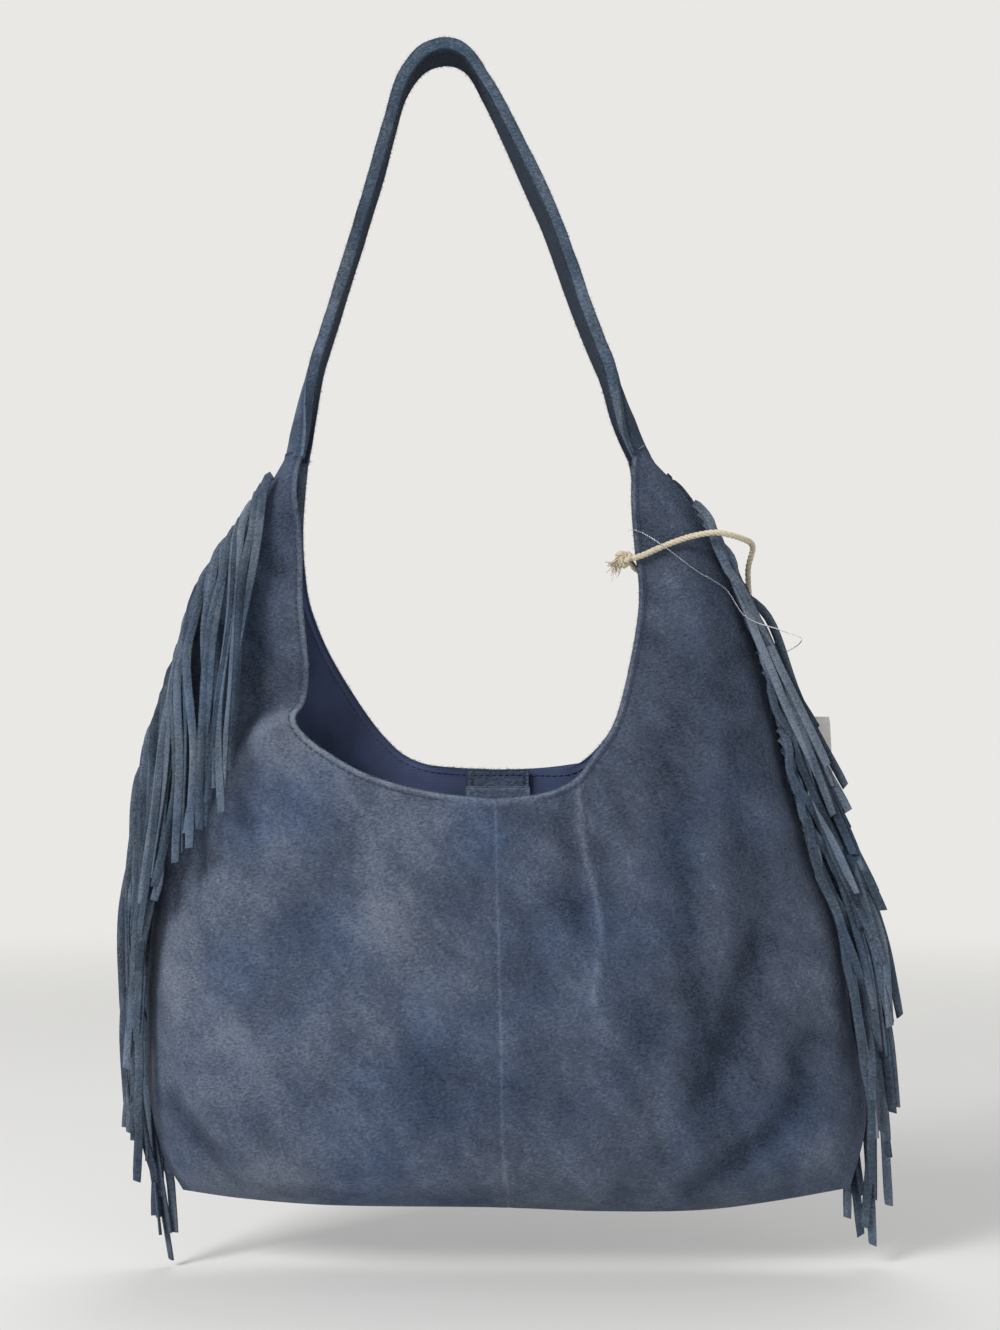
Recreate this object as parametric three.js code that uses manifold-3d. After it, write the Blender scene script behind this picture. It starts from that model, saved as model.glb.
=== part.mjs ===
// A soft suede shoulder bag, hanging by its strap: four suede panels, a cloth lining, one folded strap,
// a comb-cut fringe sewn into each side seam, a snap closure and two blank tags on strings.
// Millimetres, +Z up, +X to the right as seen from the front, the front towards -Y.
// The origin is the point under the top of the strap on which the hanging bag bears.
import * as THREE from "three";
import { mergeGeometries, mergeVertices } from "three/addons/utils/BufferGeometryUtils.js";
import Module from "manifold-3d";

const wasm = await Module();
wasm.setup();

// Overall sizes of the hanging bag
const bagWidth = 405;
const bagHeight = 420; // shoulder tips to bottom seam
const bagShift = 34; // the bag's middle hangs this far right of the bearing point
const strapDrop = 230; // bearing point down to the shoulder tips
const scoopDepth = 190; // shoulder tips down to the front rim at the middle seam
const backRimRise = 16; // the back rim's lowest point above the front rim's
const bellyFront = 42; // how far the front swells from the side seam plane
const bellyBack = 25;
const roundLeft = 110; // width over which the left side swells out from its seam
const roundRight = 160;
const roundBottom = 55;

// Materials' thicknesses and the gap that touching pieces keep
const suede = 1.4;
const liningCloth = 0.5;
const gap = 0.3;
const liningEase = 0.6; // the lining hangs this much looser than the suede it backs
const seamAllowance = 7; // width of the edges turned in at the seams
const thinTriangle = 0.0003; // no triangle of a joined piece is left lower than this
const thinTurns = 40; // and at most this many are turned
const crumb = 0.01; // detail of a joined piece below this size is smoothed away

// Strap: suede folded lengthwise, rolled to a half tube where it is sewn to the shoulder tips
const strapWidth = 36;
const strapThickness = 4.2;
const strapCurl = 2; // hollow across the strap between its ends
const strapRollLength = 62; // stretch over which each end rolls up

// Fringe
const thongWidth = 5.6;
const thongThickness = 1.3;
const thongLength = 165;
const thongSlit = 0.12; // knife cut between neighbours
const fringeStart = 9; // from the shoulder tip, along the seam
const fringeRun = 292; // along the seam
const thongRanks = 4; // the thongs hang side by side in this many ranks
const shoulderThongs = 8; // but the topmost ones in two
const rankPitch = 5.9;
const rankFan = 0.01; // sideways slope between one rank and the next
const rankLift = 1.45; // and each rank hangs this far in front of the next one out
const shoulderShare = 0.35; // this share of the left thongs lies over the shoulder fold
const foldReach = 0.08; // and rests on the highest spot this share of its length up or down
const thongOffWall = 1.3; // middle of a thong off the panel behind it
const cascadeSlope = 0.085; // a thong leans forward over the ones rooted below it

// Snap closure
const patchWidth = 35;
const patchHeight = 36;
const patchSuede = 1.2;
const snapDiameter = 17;
const snapThickness = 2;
const snapDrop = 17; // patch top to the middle of the snap

// Tags and their strings
const twineDiameter = 3.5;
const threadDiameter = 0.7;
const cardThickness = 0.8;
const whiteCard = { width: 55, height: 88, hole: 7 };
const blackCard = { width: 30, height: 48, hole: 4 };

const halfWidth = bagWidth / 2;
const tipRadius = strapWidth / Math.PI; // a strap end rolled to half a circle
const tipZ = -strapDrop;
const fringeSeam = (thongThickness + 0.1) / 2 + gap; // half the room between panels round the fringe
const plainSeam = gap / 2;
const frontSide = -1;
const backSide = 1;
const left = -1;
const right = 1;

// A smooth function through points given in rising order of their first number
function smoothThrough(points) {
  const slope = (i) => {
    const before = points[Math.max(i - 1, 0)];
    const after = points[Math.min(i + 1, points.length - 1)];
    return (after[1] - before[1]) / (after[0] - before[0]);
  };
  return (x) => {
    let i = 0;
    while (i < points.length - 2 && x > points[i + 1][0]) i++;
    const [x0, y0] = points[i];
    const [x1, y1] = points[i + 1];
    const span = x1 - x0;
    const t = THREE.MathUtils.clamp((x - x0) / span, 0, 1);
    const rise = slope(i) * span * t * (1 - t) ** 2 + slope(i + 1) * span * t * t * (t - 1);
    return y0 * (1 + 2 * t) * (1 - t) ** 2 + y1 * t * t * (3 - 2 * t) + rise;
  };
}

const mix = THREE.MathUtils.lerp;
const wobble = (i, k) => Math.sin(i * 12.9898 + k * 78.233); // a fixed, uneven number from -1 to 1

// Outlines, as shares: height from the shoulder tips down, width in half widths from the middle
const seamShares = {
  [left]: smoothThrough([
    [0, -0.619], [0.077, -0.719], [0.163, -0.832], [0.256, -0.885], [0.343, -0.951], [0.464, -0.982],
    [0.563, -0.979], [0.696, -1.0], [0.829, -1.0], [0.929, -0.96], [0.979, -0.904],
  ]),
  [right]: smoothThrough([
    [0, 0.401], [0.048, 0.495], [0.116, 0.578], [0.196, 0.65], [0.283, 0.711], [0.396, 0.766],
    [0.476, 0.81], [0.549, 0.86], [0.609, 0.915], [0.676, 0.938], [0.769, 0.962], [0.849, 0.996],
    [0.903, 0.993], [0.976, 0.954],
  ]),
};
const middleShares = smoothThrough([
  [0.41, -0.039], [0.62, -0.028], [0.79, -0.019], [0.9, -0.016], [1, 0.005],
]);
const bottomShares = smoothThrough([
  [-0.904, 0.021], [-0.738, 0.011], [-0.49, 0.003], [-0.02, 0], [0.257, -0.005], [0.534, -0.004],
  [0.736, 0.007], [0.954, 0.024],
]);
// Rims: width in half widths, height as a share of the scoop's depth, from the tip to the middle seam
const rimShares = {
  [frontSide]: {
    [left]: [
      [-0.581, 0.095], [-0.564, 0.257], [-0.561, 0.435], [-0.545, 0.621], [-0.553, 0.716],
      [-0.575, 0.766], [-0.553, 0.811], [-0.49, 0.864], [-0.373, 0.932], [-0.213, 0.979],
    ],
    [right]: [
      [0.34, 0.124], [0.348, 0.257], [0.36, 0.391], [0.351, 0.509], [0.318, 0.68], [0.285, 0.79],
      [0.235, 0.87], [0.18, 0.944], [0.091, 0.985],
    ],
  },
  [backSide]: {
    [left]: [
      [-0.578, 0.2], [-0.572, 0.362], [-0.55, 0.492], [-0.481, 0.67], [-0.354, 0.887], [-0.241, 0.98],
    ],
    [right]: [
      [0.368, 0.2], [0.39, 0.395], [0.379, 0.589], [0.34, 0.751], [0.279, 0.896], [0.188, 0.99],
      [0.077, 1.0],
    ],
  },
};
// How far the bag has swelled from its shoulder tips (0) to its belly (1), by share of the height
const depthShares = smoothThrough([
  [0, 0], [0.12, 0.13], [0.25, 0.27], [0.45, 0.54], [0.62, 0.8], [0.8, 1], [1, 1],
]);
const roundShares = smoothThrough([[0, 0], [0.12, 0.12], [0.25, 0.25], [0.45, 0.6], [0.65, 1], [1, 1]]);

const xOfShare = (share) => bagShift + halfWidth * share;
const heightShare = (z) => (tipZ - z) / bagHeight;
const seamX = (side, z) => xOfShare(seamShares[side](heightShare(z)));
const middleX = (z) => xOfShare(middleShares(heightShare(z)));
const bottomZ = (x) => tipZ - bagHeight * (1 - bottomShares((x - bagShift) / halfWidth));

// The outline set in by a distance square to itself
function insetSeamX(side, z, inset) {
  const slope = (seamX(side, z + 1) - seamX(side, z - 1)) / 2;
  return seamX(side, z) - side * inset * Math.hypot(1, slope);
}

function insetBottomZ(x, inset) {
  const slope = (bottomZ(x + 1) - bottomZ(x - 1)) / 2;
  return bottomZ(x) + inset * Math.hypot(1, slope);
}

function insetCorner(side, inset) {
  const corner = new THREE.Vector2(0, tipZ - bagHeight * 0.97);
  for (let n = 0; n < 8; n++) {
    corner.x = insetSeamX(side, corner.y, inset);
    corner.y = insetBottomZ(corner.x, inset);
  }
  return corner;
}

// A quarter ellipse from 0 at the edge to 1 at the given distance in
function swell(distance, reach) {
  const t = THREE.MathUtils.clamp(1 - distance / reach, 0, 1);
  return Math.sqrt(1 - t * t);
}

// How far the side seam holds the two faces apart: round the fringe strip, and closed below it
function seamRoom(z) {
  const fringeEnd = seamCurves[left].end.y;
  return mix(fringeSeam, plainSeam, THREE.MathUtils.smoothstep(fringeEnd - z, 4, 24));
}

// A layer of the bag's wall, set in from the outline and from the face
const outerFace = { inset: 0, depth: 0 };
const suedeBack = { inset: suede, depth: suede };
const liningFace = { inset: seamAllowance + 2, depth: suede + gap + liningEase };
const liningBack = { inset: liningFace.inset + liningCloth, depth: liningFace.depth + liningCloth };

// Y of a layer of the front or back wall at x, z
function wallY(face, layer, x, z) {
  const share = heightShare(z);
  const belly = face === frontSide ? bellyFront : bellyBack;
  const depth = mix(tipRadius, belly, depthShares(share));
  const round = (full) => mix(tipRadius, full, roundShares(share)) - layer.inset;
  const fromLeft = x - insetSeamX(left, z, layer.inset);
  const fromRight = insetSeamX(right, z, layer.inset) - x;
  const fromBottom = z - insetBottomZ(x, layer.inset);
  const sides = swell(fromLeft, round(roundLeft)) * swell(fromRight, round(roundRight));
  const isLining = layer.inset > seamAllowance;
  const room = isLining ? plainSeam : seamRoom(z);
  const out = depth - layer.depth + seamRoom(z) - room;
  return face * (room + out * sides * swell(fromBottom, roundBottom - layer.inset));
}

// The run of the fringe along each side seam
function seamCurve(side) {
  const samples = [];
  for (let n = 0; n <= 60; n++) {
    const z = mix(tipZ, tipZ - bagHeight * 0.94, n / 60);
    samples.push(new THREE.Vector2(seamX(side, z), z));
  }
  const curve = new THREE.SplineCurve(samples);
  const length = curve.getLength();
  const at = (distance) => curve.getPointAt(THREE.MathUtils.clamp(distance / length, 0, 1));
  return { at, end: at(fringeStart + fringeRun) };
}
const seamCurves = { [left]: seamCurve(left), [right]: seamCurve(right) };

// A thick sheet: a grid of points on its outer face (0) and inner face (1), closed round its edges.
// From the row joinFrom down the last column has no wall, so that a mirrored half can be welded there.
function thickSheet(columns, rows, pointAt, joinFrom = Infinity) {
  const points = [];
  for (const face of [0, 1]) {
    for (let j = 0; j <= rows; j++) {
      for (let i = 0; i <= columns; i++) points.push(pointAt(i, j, face));
    }
  }
  const id = (face, i, j) => (face * (rows + 1) + j) * (columns + 1) + i;
  const index = [];
  const quad = (a, b, c, d) => index.push(a, b, c, a, c, d);
  for (let j = 0; j < rows; j++) {
    for (let i = 0; i < columns; i++) {
      quad(id(0, i, j), id(0, i, j + 1), id(0, i + 1, j + 1), id(0, i + 1, j));
      quad(id(1, i, j), id(1, i + 1, j), id(1, i + 1, j + 1), id(1, i, j + 1));
    }
    quad(id(0, 0, j), id(1, 0, j), id(1, 0, j + 1), id(0, 0, j + 1));
    if (j >= joinFrom) continue;
    quad(id(0, columns, j), id(0, columns, j + 1), id(1, columns, j + 1), id(1, columns, j));
  }
  for (let i = 0; i < columns; i++) {
    quad(id(0, i, 0), id(0, i + 1, 0), id(1, i + 1, 0), id(1, i, 0));
    quad(id(0, i, rows), id(1, i, rows), id(1, i + 1, rows), id(0, i + 1, rows));
  }
  return new THREE.BufferGeometry().setFromPoints(points).setIndex(index);
}

function turnedOver(geometry) {
  const index = geometry.index.array;
  for (let n = 0; n < index.length; n += 3) [index[n + 1], index[n + 2]] = [index[n + 2], index[n + 1]];
  return geometry;
}

function signedVolume(geometry) {
  const position = geometry.attributes.position;
  const corner = (n) => new THREE.Vector3().fromBufferAttribute(position, geometry.index.getX(n));
  let six = 0;
  for (let n = 0; n < geometry.index.count; n += 3) {
    six += corner(n).dot(corner(n + 1).cross(corner(n + 2)));
  }
  return six / 6;
}

const facingOut = (geometry) => (signedVolume(geometry) < 0 ? turnedOver(geometry) : geometry);

// Between three.js geometry and the solids that are joined and cut
function solidOf(geometry) {
  const bare = geometry.clone();
  bare.deleteAttribute("normal");
  bare.deleteAttribute("uv");
  const merged = mergeVertices(bare, 1e-4);
  const triVerts = new Uint32Array(merged.index.array);
  const vertProperties = merged.attributes.position.array;
  return new wasm.Manifold(new wasm.Mesh({ numProp: 3, vertProperties, triVerts }));
}

function geometryOf(solid) {
  const mesh = solid.getMesh();
  const geometry = new THREE.BufferGeometry();
  geometry.setAttribute("position", new THREE.BufferAttribute(mesh.vertProperties, mesh.numProp));
  return geometry.setIndex(new THREE.BufferAttribute(mesh.triVerts, 1));
}

// Where three corners of a triangle lie all but in a line, its long side is turned to join the middle
// corner with the far corner of the triangle next to it
function turnThinSides(geometry) {
  const index = geometry.index.array;
  const corner = (n) => new THREE.Vector3().fromBufferAttribute(geometry.attributes.position, n);
  const sides = new Map();
  for (let t = 0; t < index.length; t += 3) {
    for (let k = 0; k < 3; k++) {
      const [from, to, far] = [0, 1, 2].map((n) => index[t + ((k + n) % 3)]);
      sides.set(from + ">" + to, [t, far]);
    }
  }
  for (let t = 0; t < index.length; t += 3) {
    const lengths = [0, 1, 2].map((k) => corner(index[t + k]).distanceTo(corner(index[t + ((k + 1) % 3)])));
    const k = lengths.indexOf(Math.max(...lengths));
    const [p, q, r] = [0, 1, 2].map((n) => index[t + ((k + n) % 3)]);
    const area = new THREE.Triangle(corner(p), corner(q), corner(r)).getArea();
    const [next, s] = sides.get(q + ">" + p);
    const taken = sides.has(r + ">" + s) || sides.has(s + ">" + r);
    if ((2 * area) / lengths[k] < thinTriangle && !taken) {
      index.set([r, p, s], t);
      index.set([s, q, r], next);
      return true;
    }
  }
  return false;
}

// The largest body of a solid, without the crumbs of a cut and with any shut-in pocket filled. It is
// looked for once more after its corners are welded, which can pinch off a last crumb.
function largestBody(solid) {
  const largest = (whole) => whole.decompose().sort((a, b) => b.volume() - a.volume())[0];
  const body = largest(solid.simplify(crumb));
  const geometry = geometryOf(largest(solidOf(geometryOf(body))));
  for (let turn = 0; turn < thinTurns && turnThinSides(geometry); turn++);
  return geometry;
}

const joined = (geometries) => largestBody(wasm.Manifold.union(geometries.map(solidOf)));

// Rows of a wall run from the shoulder tip to the end of the scoop, then down the middle seam
const upperRows = 8;
const lowerRows = 7;
const wallRows = upperRows + lowerRows;
const panelColumns = 8;
const liningColumns = 6;
const liningTop = 2; // the lining starts at this row, where the shoulder is wide enough for it

const scoopBottomZ = (face) => tipZ - scoopDepth + (face === backSide ? backRimRise : 0);

function rimCurve(face, side) {
  const lowest = scoopBottomZ(face);
  const tip = new THREE.Vector2(seamX(side, tipZ) - side * tipRadius, tipZ);
  const shares = rimShares[face][side].map(
    ([x, z]) => new THREE.Vector2(xOfShare(x), mix(tipZ, lowest, z)),
  );
  return new THREE.SplineCurve([tip, ...shares, new THREE.Vector2(middleX(lowest), lowest)]);
}

// The x, z net of one half of the front or back wall, by row and by share from seam (0) to middle (1)
function wallNet(face, side, layer, middleGap) {
  const rim = rimCurve(face, side);
  const lowest = scoopBottomZ(face);
  const corner = insetCorner(side, layer.inset);
  return (share, row) => {
    let outerZ = mix(tipZ - gap / 2, lowest, Math.min(row / upperRows, 1));
    let inner = rim.getPointAt(Math.min(row / upperRows, 1));
    if (row === 0) inner.y = outerZ;
    let sag = 0;
    if (row > upperRows) {
      const down = Math.sin(((row - upperRows) / lowerRows) * (Math.PI / 2));
      outerZ = mix(lowest, corner.y, down);
      const bottom = insetBottomZ(middleX(tipZ - bagHeight), layer.inset);
      const z = mix(lowest, bottom, down);
      inner = new THREE.Vector2(middleX(z), z);
      sag = down ** 2;
    }
    const outer = new THREE.Vector2(insetSeamX(side, outerZ, layer.inset), outerZ);
    if (row === wallRows) outer.copy(corner);
    if (row >= upperRows) inner.x += (side * middleGap) / 2;
    const point = outer.clone().lerp(inner, share);
    if (sag > 0) {
      const chord = mix(corner.y, insetBottomZ(inner.x, layer.inset), share);
      point.y += sag * (insetBottomZ(point.x, layer.inset) - chord);
    }
    return point;
  };
}

const towardsMiddle = (i, columns) => 1 - Math.cos((i / columns) * (Math.PI / 2));

function wallHalf(face, side, layers, columns, topRow, middleGap) {
  const nets = layers.map((layer) => wallNet(face, side, layer, middleGap));
  const sheet = thickSheet(
    columns,
    wallRows - topRow,
    (i, j, k) => {
      const point = nets[k](towardsMiddle(i, columns), j + topRow);
      return new THREE.Vector3(point.x, wallY(face, layers[k], point.x, point.y), point.y);
    },
    middleGap > 0 ? Infinity : upperRows - topRow,
  );
  return face * side > 0 ? sheet : turnedOver(sheet);
}

const suedePanel = (face, side) => wallHalf(face, side, [outerFace, suedeBack], panelColumns, 0, gap);

function lining(face) {
  const halves = [left, right].map((side) =>
    wallHalf(face, side, [liningFace, liningBack], liningColumns, liningTop, 0),
  );
  return mergeVertices(mergeGeometries(halves), 1e-4);
}

// The strap's outer face from one shoulder tip over the top to the other, in shares of reach and drop
const strapShares = {
  [left]: [[0.16, 0.018], [0.3, 0.085], [0.4, 0.21], [0.62, 0.5], [0.81, 0.73], [0.93, 0.875]],
  [right]: [[0.11, 0.02], [0.22, 0.1], [0.33, 0.205], [0.52, 0.41], [0.72, 0.68], [0.86, 0.84]],
};
const strapTwist = { [left]: 8, [right]: -5 }; // degrees, about the strap's own line

function strapCurve() {
  const top = strapThickness;
  const leg = (side) => {
    const reach = seamX(side, tipZ);
    const end = tipZ + gap / 2;
    const along = strapShares[side].map(([x, z]) => new THREE.Vector3(reach * x, 0, mix(top, end, z)));
    return [...along, new THREE.Vector3(reach, 0, end)];
  };
  return new THREE.CatmullRomCurve3([...leg(left).reverse(), new THREE.Vector3(0, 0, top), ...leg(right)]);
}

function strap() {
  const curve = strapCurve();
  const length = curve.getLength();
  const columns = 4;
  const rows = 34;
  const flatBend = (8 * strapCurl) / strapWidth ** 2;
  const endBend = Math.PI / strapWidth;
  return facingOut(
    thickSheet(columns, rows, (i, j, face) => {
      const share = j / rows;
      const point = curve.getPointAt(share);
      const tangent = curve.getTangentAt(share);
      const fromEnd = Math.min(share, 1 - share) * length;
      const rolled = 1 - THREE.MathUtils.smoothstep(fromEnd, 0, strapRollLength);
      const side = share < 0.5 ? left : right;
      const level = 1 - THREE.MathUtils.smoothstep(fromEnd, 0, strapRollLength / 2);
      const out = new THREE.Vector3(-tangent.z, 0, tangent.x);
      out.lerp(new THREE.Vector3(side, 0, 0), level).normalize();
      const midLeg = Math.sin(Math.PI * 2 * Math.min(share, 1 - share));
      const twist = THREE.MathUtils.degToRad(strapTwist[side]) * midLeg * (1 - rolled);
      const across = new THREE.Vector3(0, 1, 0).applyAxisAngle(tangent, -twist);
      const bend = mix(flatBend, endBend, rolled);
      const angle = bend * strapWidth * (i / columns - 0.5);
      const radius = 1 / bend - face * strapThickness;
      const sideways = radius * Math.sin(angle);
      const inwards = 1 / bend - radius * Math.cos(angle);
      const spread = 1 + (fringeSeam / tipRadius) * rolled;
      return point.addScaledVector(across, sideways * spread).addScaledVector(out, -inwards);
    }),
  );
}

// How far outwards the thongs' tips swing, on top of their rank's own place, along the run of the fringe
const tipSwing = {
  [left]: smoothThrough([[0, 2], [0.15, 2], [0.32, 14], [0.45, 10], [0.7, 0], [0.85, -6], [1, -20]]),
  [right]: smoothThrough([[0, 54], [0.15, 54], [0.35, 54], [0.6, 46], [0.75, 28], [0.87, 10], [1, -10]]),
};

// A thong's line over the x, z plane: square out of the seam to the place of its rank, then down
function thongLine(side, root, ahead, rank, along, length) {
  const down = ahead.clone().sub(root).normalize();
  const out = new THREE.Vector2(-side * down.y, side * down.x);
  const swing = tipSwing[side](along);
  const reach = rankPitch * (rank + 0.7);
  const hang = (drop, share) => {
    const away = reach + swing * share + rank * rankFan * drop;
    return new THREE.Vector2(root.x + side * away, root.y - drop);
  };
  const tipDrop = Math.sqrt(length ** 2 - (swing + rank * 2) ** 2) - reach * 0.7;
  return new THREE.SplineCurve([
    root.clone().addScaledVector(out, -0.6),
    root.clone().addScaledVector(out, 2.2),
    hang(1.5 + 0.1 * reach, 0).add(new THREE.Vector2(-side * 1.6, 0)),
    hang(9 + 0.2 * reach, 0.06), hang(40, 0.25), hang(tipDrop * 0.62, 0.62), hang(tipDrop, 1),
  ]);
}

function thong(side, i, count) {
  const distance = fringeStart + (i + 0.5) * (fringeRun / count);
  const root = seamCurves[side].at(distance);
  const ahead = seamCurves[side].at(distance + 1);
  const length = thongLength * (1 + 0.04 * wobble(i, 1));
  const rank = i < shoulderThongs ? Math.floor((i % 4) / 2) : i % thongRanks;
  const line = thongLine(side, root, ahead, rank, (i + 0.5) / count, length);
  const stacked = side === right ? 1 : THREE.MathUtils.smoothstep(i / count, 0.2, 0.4);
  const halfThong = (thongWidth - thongSlit) / 2;
  const overShoulder = side === left && i < count * shoulderShare;
  const placeAt = (share) => {
    const at = line.getPointAt(share);
    const reachAlong = overShoulder && share > foldReach ? foldReach : 0;
    const nearby = [-reachAlong, 0, reachAlong].map((step) => line.getPointAt(Math.min(share + step, 1)));
    const walls = nearby.flatMap(({ x, y }) =>
      [x - halfThong, x + halfThong].map((edgeX) => wallY(frontSide, outerFace, edgeX, y)),
    );
    const drop = root.y - at.y;
    const offWall = Math.min(...walls) - thongOffWall;
    const forward = THREE.MathUtils.smoothstep(drop, 0.6, 4) * (offWall - cascadeSlope * drop);
    const rankForward = THREE.MathUtils.smoothstep(share, 0.01, 0.028) * stacked * rankLift;
    return new THREE.Vector3(at.x, forward - rankForward * (thongRanks - 1 - rank), at.y);
  };
  const hanging = overShoulder ? [0.25, 0.5, 1] : [0.45, 1];
  const steps = [0, 0.009, 0.03, 0.1, ...hanging];
  return facingOut(
    thickSheet(1, steps.length - 1, (across, j, face) => {
      const share = steps[j];
      const point = placeAt(share);
      const behind = placeAt(Math.max(share - 0.01, 0));
      const tangent = placeAt(Math.min(share + 0.01, 1)).sub(behind).normalize();
      const sideways = tangent.clone().cross(new THREE.Vector3(0, -1, 0)).normalize();
      const outward = sideways.clone().cross(tangent).normalize();
      point.addScaledVector(sideways, (across * 2 - 1) * halfThong);
      return point.addScaledVector(outward, (0.5 - face) * thongThickness);
    }),
  );
}

// The uncut edge of the fringe, held between the panels along the side seam
function fringeHeader(side, count) {
  const rows = Math.round(count / 2);
  return facingOut(
    thickSheet(1, rows, (across, j, face) => {
      const distance = fringeStart + (j / rows) * fringeRun;
      const at = seamCurves[side].at(distance);
      const down = seamCurves[side].at(distance + 1).sub(at).normalize();
      const out = new THREE.Vector2(side * Math.abs(down.y), -side * down.x * Math.sign(-down.y));
      at.addScaledVector(out, across === 0 ? -seamAllowance : 1.5);
      return new THREE.Vector3(at.x, (face - 0.5) * (thongThickness + 0.1), at.y);
    }),
  );
}

// Header and thongs as one piece, pressed flat where they would cut into the panel behind them
function fringe(side) {
  const count = Math.round(fringeRun / thongWidth);
  const pieces = [fringeHeader(side, count)];
  for (let i = 0; i < count; i++) pieces.push(thong(side, i, count));
  const clear = gap - 0.05;
  const panelAndGap = [
    { inset: -clear, depth: -clear },
    { inset: suede + clear, depth: suede + clear },
  ];
  const panel = wallHalf(frontSide, side, panelAndGap, panelColumns, 0, gap);
  return largestBody(solidOf(joined(pieces)).subtract(solidOf(panel)));
}

// The suede patch and snap half inside the middle of each rim
const patchX = bagShift - 5.5;
const patchOverRim = { [frontSide]: 3, [backSide]: -0.5 };
const patchTopZ = (face) => scoopBottomZ(face) + patchOverRim[face];

function patchLayer(face, raise) {
  const depth = liningBack.depth + gap + raise;
  return (x, z) => new THREE.Vector3(x, wallY(face, { ...liningBack, depth }, x, z), z);
}

function snapPatch(face) {
  const layers = [patchLayer(face, 0), patchLayer(face, patchSuede)];
  return facingOut(
    thickSheet(4, 4, (i, j, k) => {
      const x = patchX + patchWidth * (i / 4 - 0.5);
      return layers[k](x, patchTopZ(face) - (patchHeight * j) / 4);
    }),
  );
}

function snapPlace(face) {
  const at = patchLayer(face, patchSuede + gap);
  const z = patchTopZ(face) - snapDrop;
  const middle = at(patchX, z);
  const acrossIt = at(patchX + 4, z).sub(at(patchX - 4, z));
  const upIt = at(patchX, z + 4).sub(at(patchX, z - 4));
  const inward = acrossIt.cross(upIt).normalize();
  if (inward.y * face > 0) inward.negate();
  return { middle, inward };
}

// Profiles of the snap halves, radius and height, closed on the axis
const snapRadius = snapDiameter / 2;
const snapProfiles = {
  [frontSide]: [
    [0, 0], [snapRadius, 0], [snapRadius, snapThickness * 0.6], [snapRadius - 1, snapThickness],
    [snapRadius * 0.45, snapThickness], [snapRadius * 0.4, snapThickness + 2], [0, snapThickness + 2.4],
  ],
  [backSide]: [
    [0, 0], [snapRadius, 0], [snapRadius, snapThickness * 0.8], [snapRadius - 1, snapThickness + 0.6],
    [snapRadius * 0.5, snapThickness + 0.6], [snapRadius * 0.46, 0.6], [0, 0.6],
  ],
};

function snapHalf(face) {
  const profile = snapProfiles[face].map(([radius, height]) => new THREE.Vector2(radius, height));
  return new THREE.LatheGeometry(profile, 20);
}

function placeSnap(mesh, face) {
  const { middle, inward } = snapPlace(face);
  mesh.position.copy(middle);
  mesh.quaternion.setFromUnitVectors(new THREE.Vector3(0, 1, 0), inward);
}

// A round string along a smooth route
function roundSection(diameter) {
  const corners = [];
  for (let n = 0; n < 8; n++) {
    const angle = (n * Math.PI) / 4;
    corners.push(new THREE.Vector2(Math.cos(angle), Math.sin(angle)).multiplyScalar(diameter / 2));
  }
  return new THREE.Shape(corners);
}

function stringAlong(route, diameter, steps) {
  const extrudePath = new THREE.CatmullRomCurve3(route);
  return new THREE.ExtrudeGeometry(roundSection(diameter), { steps, bevelEnabled: false, extrudePath });
}

// Strings tied round the right shoulder. Places are a share across the shoulder from the rim (0) to the
// side seam (1) and a drop below the shoulder tips; the last number is the room off the wall.
function shoulderPoint(face, across, drop, room) {
  const z = tipZ - drop;
  const rimX = rimPointX(face, z);
  const x = mix(rimX, seamX(right, z), across);
  return new THREE.Vector3(x, wallY(face, outerFace, x, z) + face * room, z);
}

function rimPointX(face, z) {
  const curve = rimCurve(face, right);
  let best = curve.getPoint(0);
  for (let n = 1; n <= 200; n++) {
    const point = curve.getPoint(n / 300);
    if (Math.abs(point.y - z) < Math.abs(best.y - z)) best = point;
  }
  return best.x;
}

const whiteCardHole = new THREE.Vector3(seamX(right, tipZ - 150) + 7.5, 22, tipZ - 152);
const blackCardHole = new THREE.Vector3(seamX(right, tipZ - 108) + 4, 14, tipZ - 110);
const beside = (place, x, y, z) => place.clone().add(new THREE.Vector3(x, y, z));

function twineRoute() {
  const room = twineDiameter / 2 + gap;
  const knot = beside(shoulderPoint(frontSide, 0, 57, 0), -5.5, -1.5, 0);
  const seamSide = shoulderPoint(frontSide, 1, 44, 0);
  return {
    knot,
    points: [
      knot,
      beside(shoulderPoint(frontSide, 0, 56.7, 0), 0, -room - 1, 0),
      shoulderPoint(frontSide, 0.3, 51, room + 0.3),
      shoulderPoint(frontSide, 0.55, 47, room + 2.5),
      shoulderPoint(frontSide, 0.76, 45, room + 9.4),
      beside(seamSide, -0.5, -25.6, 0),
      beside(seamSide, 7, -24, -1),
      beside(seamSide, 15, -18.5, -2.5),
      beside(seamSide, 23, -3, -5),
      beside(seamSide, 22, 8, -18),
      beside(blackCardHole, 0, 6.5, 4),
      beside(whiteCardHole, -2, -4, 14),
      beside(whiteCardHole, 0, -3.2, 4),
      whiteCardHole,
      beside(whiteCardHole, 0, 3.2, 4),
      beside(whiteCardHole, -6, 4, 16),
      shoulderPoint(backSide, 0.8, 112, room + 3),
      shoulderPoint(backSide, 0.5, 88, room + 1),
      shoulderPoint(backSide, 0.2, 66, room + 1),
      beside(shoulderPoint(backSide, 0, 60, 0), -3.5, 1.5, 0),
      beside(shoulderPoint(backSide, 0, 58, 0), -8, -14, 0),
      beside(knot, 0, 3, 0),
    ],
  };
}

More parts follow.
